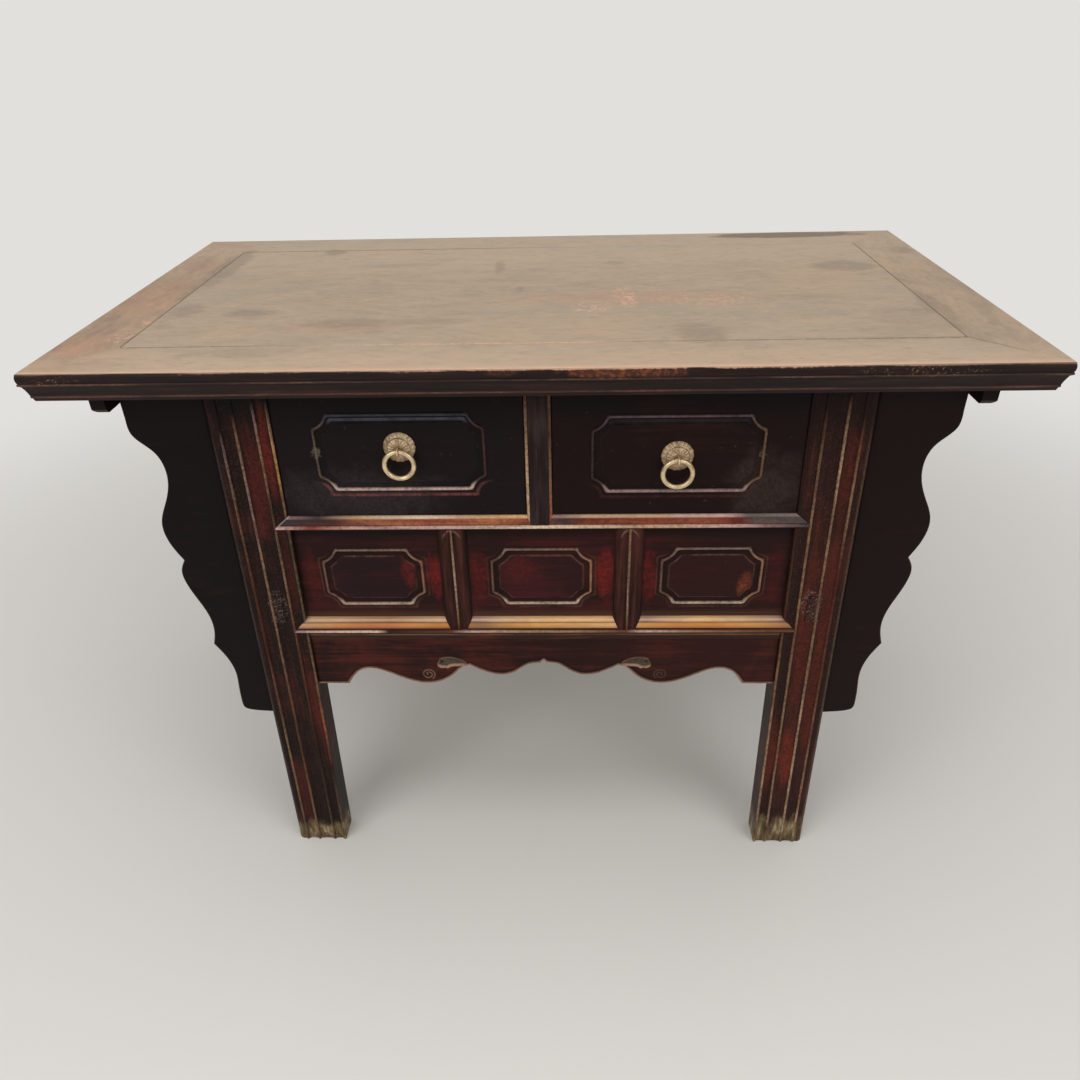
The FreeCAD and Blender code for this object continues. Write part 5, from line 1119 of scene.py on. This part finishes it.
def make_ring(side, sign, finish):
    """Hand-bent ring: a circle of rod whose thickness varies a little, with a split inside the
    eye. The rod tapers to a small closed cap at each cut end."""
    major, minor = 17.0 * MM, 2.9 * MM
    half_gap = 0.4 * MM / major
    sweep = np.linspace(half_gap, 2 * math.pi - half_gap, 161)
    sweep = np.r_[sweep[0], sweep[0], sweep, sweep[-1], sweep[-1]]
    thick = minor * (0.965 + 0.03 * np.sin(3 * sweep + 0.7) * np.sin(sweep / 2) ** 2)
    thick[[0, -1]] = 0.02 * MM
    thick[[1, -2]] *= 0.82
    thick[[2, -3]] *= 0.94
    turn = np.linspace(0, 2 * math.pi, 33)[:-1]
    s, t = np.meshgrid(sweep, turn, indexing="ij")
    rod = thick[:, None]
    wide = major + rod * np.cos(t)
    points = np.stack([sign * PULL_X + wide * np.sin(s), EYE_Y + rod * np.sin(t),
                       PULL_Z[side] - major + wide * np.cos(s)], -1)
    rows, columns = points.shape[:2]
    faces = grid_faces(rows, columns, close_columns=True)
    faces += [list(range(columns))[::-1], [(rows - 1) * columns + k for k in range(columns)]]
    faces = [corners[::-1] for corners in faces]
    piece = make_piece("ring_" + side + "_bent", points.reshape(-1, 3), faces, "ring_" + side,
                       finish)
    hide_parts("drawer_" + side + "_pull_ring")


# Dressing the solids

def both(*names):
    """The left and right nodes of each name."""
    return [name.replace("*", side) for name in names for side, _ in SIDES]


def dress(material, *names):
    """Gives CAD nodes one finish."""
    for name in names:
        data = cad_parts[name].data
        data.materials.clear()
        data.materials.append(material)


def dress_front():
    """Finishes of the front legs, post, mullions, panels, drawer fronts and rails."""
    dress(leg_finish("leg_left_lacquer", (26, 17, 15), LEFT_BEADS, LEFT_THIN, (104, 36, 30),
                     (72, 58, 52), 0.036, 1.0), "leg_front_left")
    dress(leg_finish("leg_right_lacquer", BROWN_BLACK, RIGHT_BEADS, RIGHT_THIN, (116, 44, 28),
                     (104, 82, 60), 0.052, 2.0), "leg_front_right")
    dress(tenon_rail_finish("tenon_rail_lacquer"), *both("side_lower_rail_*"))
    dress(post_finish("post_lacquer"), "drawer_post")
    dress(mullion_finish("mullion_lacquer"), *both("mullion_*"))
    dress(panel_finish("panel_left_lacquer", -SIDE_PANEL_X, (0.35, 0.95), (38, 21, 23),
                       (96, 30, 28), (46 * MM, 8 * MM), (13 * MM, 30 * MM), 6.0),
          "front_panel_left")
    dress(panel_finish("panel_middle_lacquer", 0.0, (0.50, 0.95), (44, 21, 23),
                       (82, 27, 27), (-28 * MM, 12 * MM), (38 * MM, 28 * MM), 7.0),
          "front_panel_middle")
    dress(panel_finish("panel_right_lacquer", SIDE_PANEL_X, (0.65, 0.20), (44, 22, 21),
                       (128, 62, 38), (45 * MM, -14 * MM), (13 * MM, 24 * MM), 8.0),
          "front_panel_right")
    dress(drawer_finish("drawer_left_lacquer", "left", (26, 18, 19), (46, 32, 30), 0.35,
                        ((52, 45, 45), (-0.215, 0.622), (0.130, 0.050)),
                        ((96, 82, 64), (78, 50, 46), (62, 62, 68), (204, 174, 164)),
                        (-5.8 * MM, (126, 70, 72), 0.0, 0.9),
                        ((46, 40, 46), 0.35), ((76, 79, 94), 0.80), 7.0), "drawer_left_front")
    dress(drawer_finish("drawer_right_lacquer", "right", (28, 16, 14), (50, 25, 20), 0.45,
                        ((58, 46, 42), (0.265, 0.630), (0.055, 0.060)),
                        ((66, 52, 52), (112, 82, 62), (98, 80, 82), (160, 132, 128)),
                        (-5.8 * MM, (84, 42, 36), 0.0, 0.45),
                        ((58, 48, 48), 0.35), ((58, 58, 66), 0.35), 8.0), "drawer_right_front")
    dress(drawer_rail_finish("drawer_rail_finish"), "drawer_rail")
    dress(lower_rail_finish("lower_rail_finish"), "front_lower_rail")


def dress_frame():
    """Finishes of the top, the back legs, the sides, the back and the wood inside."""
    dress(top_finish("top_boards", "x"), "top_panel", "top_front_rail", "top_rear_rail")
    dress(top_finish("top_ends", "y"), *both("top_end_rail_*"))
    dress(plain_lacquer("rear_leg_lacquer", "z", BLACK, RED_BROWN, 0.35, 3.0, 0.040),
          *both("leg_rear_*"))
    dress(plain_lacquer("frame_lacquer_y", "y", BLACK, RED_BROWN, 0.35, 9.0), "end_battens",
          *both("side_top_rail_*", "side_middle_rail_*", "side_upper_panel_*",
                "side_lower_panel_*"))
    dress(plain_lacquer("frame_lacquer_x", "x", BLACK, RED_BROWN, 0.3, 10.0),
          "front_top_rail", "rear_middle_rail", "rear_lower_rail", "rear_upper_panel",
          "rear_lower_panel")
    dress(bare_wood("runner_wood", "y"), "centre_runner", "top_battens",
          *both("side_runner_*", "drawer_*_guide_side", "drawer_*_outer_side"))
    dress(bare_wood("board_wood", "x"), "compartment_floor",
          *both("drawer_*_back", "drawer_*_bottom"))


def dress_pulls():
    """Both pulls: darker rosettes, brighter rings."""
    cast = brass("rosette_brass", (136, 114, 90), (184, 158, 126), (220, 196, 162),
                 0.36)
    rod = brass("ring_brass", (184, 158, 120), (222, 198, 158), (246, 228, 194), 0.26)
    dress(cast, *both("drawer_*_rosette"))
    dress(rod, *both("drawer_*_cotter", "drawer_*_pull_ring"))
    for side, sign in SIDES:
        make_rosette(side, sign, cast)
        make_ring(side, sign, rod)


dress_frame()
dress_front()
dress_pulls()
make_apron(carved_finish("apron_lacquer", (36, 20, 18), (78, 33, 26), 0.70,
                         (160, 124, 104), 0.20))
make_spandrels(carved_finish("spandrel_lacquer", (20, 14, 14), (36, 20, 18), 0.45,
                             (132, 108, 80), 0.35))


# Room, light and camera

PALE_FLOOR = (226, 224, 220)
FLOOR_REACH = 30.0
# Lamps as (name, place, target, size, power)
LAMPS = (("overhead", (0.0, -0.3, 2.9), (0.0, 0.0, 0.6), (3.2, 2.0), 38),
         ("front_left", (-1.6, -2.4, 2.0), (0.0, -0.2, 0.5), (1.8, 1.4), 26),
         ("front_right", (1.8, -2.2, 1.8), (0.0, -0.2, 0.5), (1.6, 1.4), 18))
CAMERA_PLACE = (0.0341, -1.1375, 1.1125)
CAMERA_ANGLES = (32.135, -2.249, 1.486)
CAMERA_LENS = 28.26
CAMERA_FRAME = 36.0


def make_floor():
    """Plain pale floor: lit near the table, and even in tone further out as the camera sees it."""
    mesh = bpy.data.meshes.new("floor")
    mesh.from_pydata([(x * FLOOR_REACH, y * FLOOR_REACH, 0)
                      for x, y in ((-1, -1), (1, -1), (1, 1), (-1, 1))], [], [(0, 1, 2, 3)])
    f = Finish("floor_paint")
    out = (f.x * f.x + f.y * f.y).root().rise(0.9, 2.4)
    seen = f.add("ShaderNodeLightPath", out="Is Camera Ray")
    share = out * seen
    black = (0, 0, 0)
    mesh.materials.append(f.surface(colour=f.mix(share, PALE_FLOOR, black), roughness=0.9,
                                    specular=0.0, glow=f.mix(share, black, PALE_FLOOR),
                                    glow_strength=1.0))
    floor = bpy.data.objects.new("floor", mesh)
    bpy.context.scene.collection.objects.link(floor)


def make_lamp(name, place, target, size, power):
    """Soft rectangular lamp aimed at a point."""
    lamp = bpy.data.lights.new(name, "AREA")
    lamp.shape = "RECTANGLE"
    lamp.size, lamp.size_y = size
    lamp.energy = power
    rig = bpy.data.objects.new(name, lamp)
    rig.location = place
    rig.rotation_euler = (Vector(target) - Vector(place)).to_track_quat("-Z", "Y").to_euler()
    bpy.context.scene.collection.objects.link(rig)


def make_world():
    """Even pale surroundings: a soft fill light, seen by the camera as a pale backdrop."""
    world = bpy.data.worlds.new("room")
    world.use_nodes = True
    tree = world.node_tree
    back = tree.nodes["Background"]
    path = tree.nodes.new("ShaderNodeLightPath")
    level = tree.nodes.new("ShaderNodeMapRange")
    tree.links.new(path.outputs["Is Camera Ray"], level.inputs["Value"])
    level.inputs["To Min"].default_value = 0.5
    level.inputs["To Max"].default_value = 1.0
    tree.links.new(level.outputs["Result"], back.inputs["Strength"])
    back.inputs["Color"].default_value = tone(PALE_FLOOR)
    bpy.context.scene.world = world


def make_camera():
    """Camera of the photograph, with its lens and square frame in millimetres: pitched down,
    turned a little to the left and slightly rolled."""
    pitch, yaw, roll = (math.radians(angle) for angle in CAMERA_ANGLES)
    ahead = Vector((math.sin(yaw) * math.cos(pitch), math.cos(yaw) * math.cos(pitch),
                    -math.sin(pitch)))
    level = Vector((math.cos(yaw), -math.sin(yaw), 0))
    down = ahead.cross(level)
    right = level * math.cos(roll) + down * math.sin(roll)
    down = down * math.cos(roll) - level * math.sin(roll)
    data = bpy.data.cameras.new("camera")
    data.sensor_width = CAMERA_FRAME
    data.lens = CAMERA_LENS
    rig = bpy.data.objects.new("camera", data)
    turn = Matrix((right, -down, -ahead)).transposed().to_4x4()
    rig.matrix_world = Matrix.Translation(CAMERA_PLACE) @ turn
    bpy.context.scene.collection.objects.link(rig)
    bpy.context.scene.camera = rig


make_floor()
make_world()
for lamp_settings in LAMPS:
    make_lamp(*lamp_settings)
make_camera()
bpy.context.scene.view_settings.view_transform = "Standard"
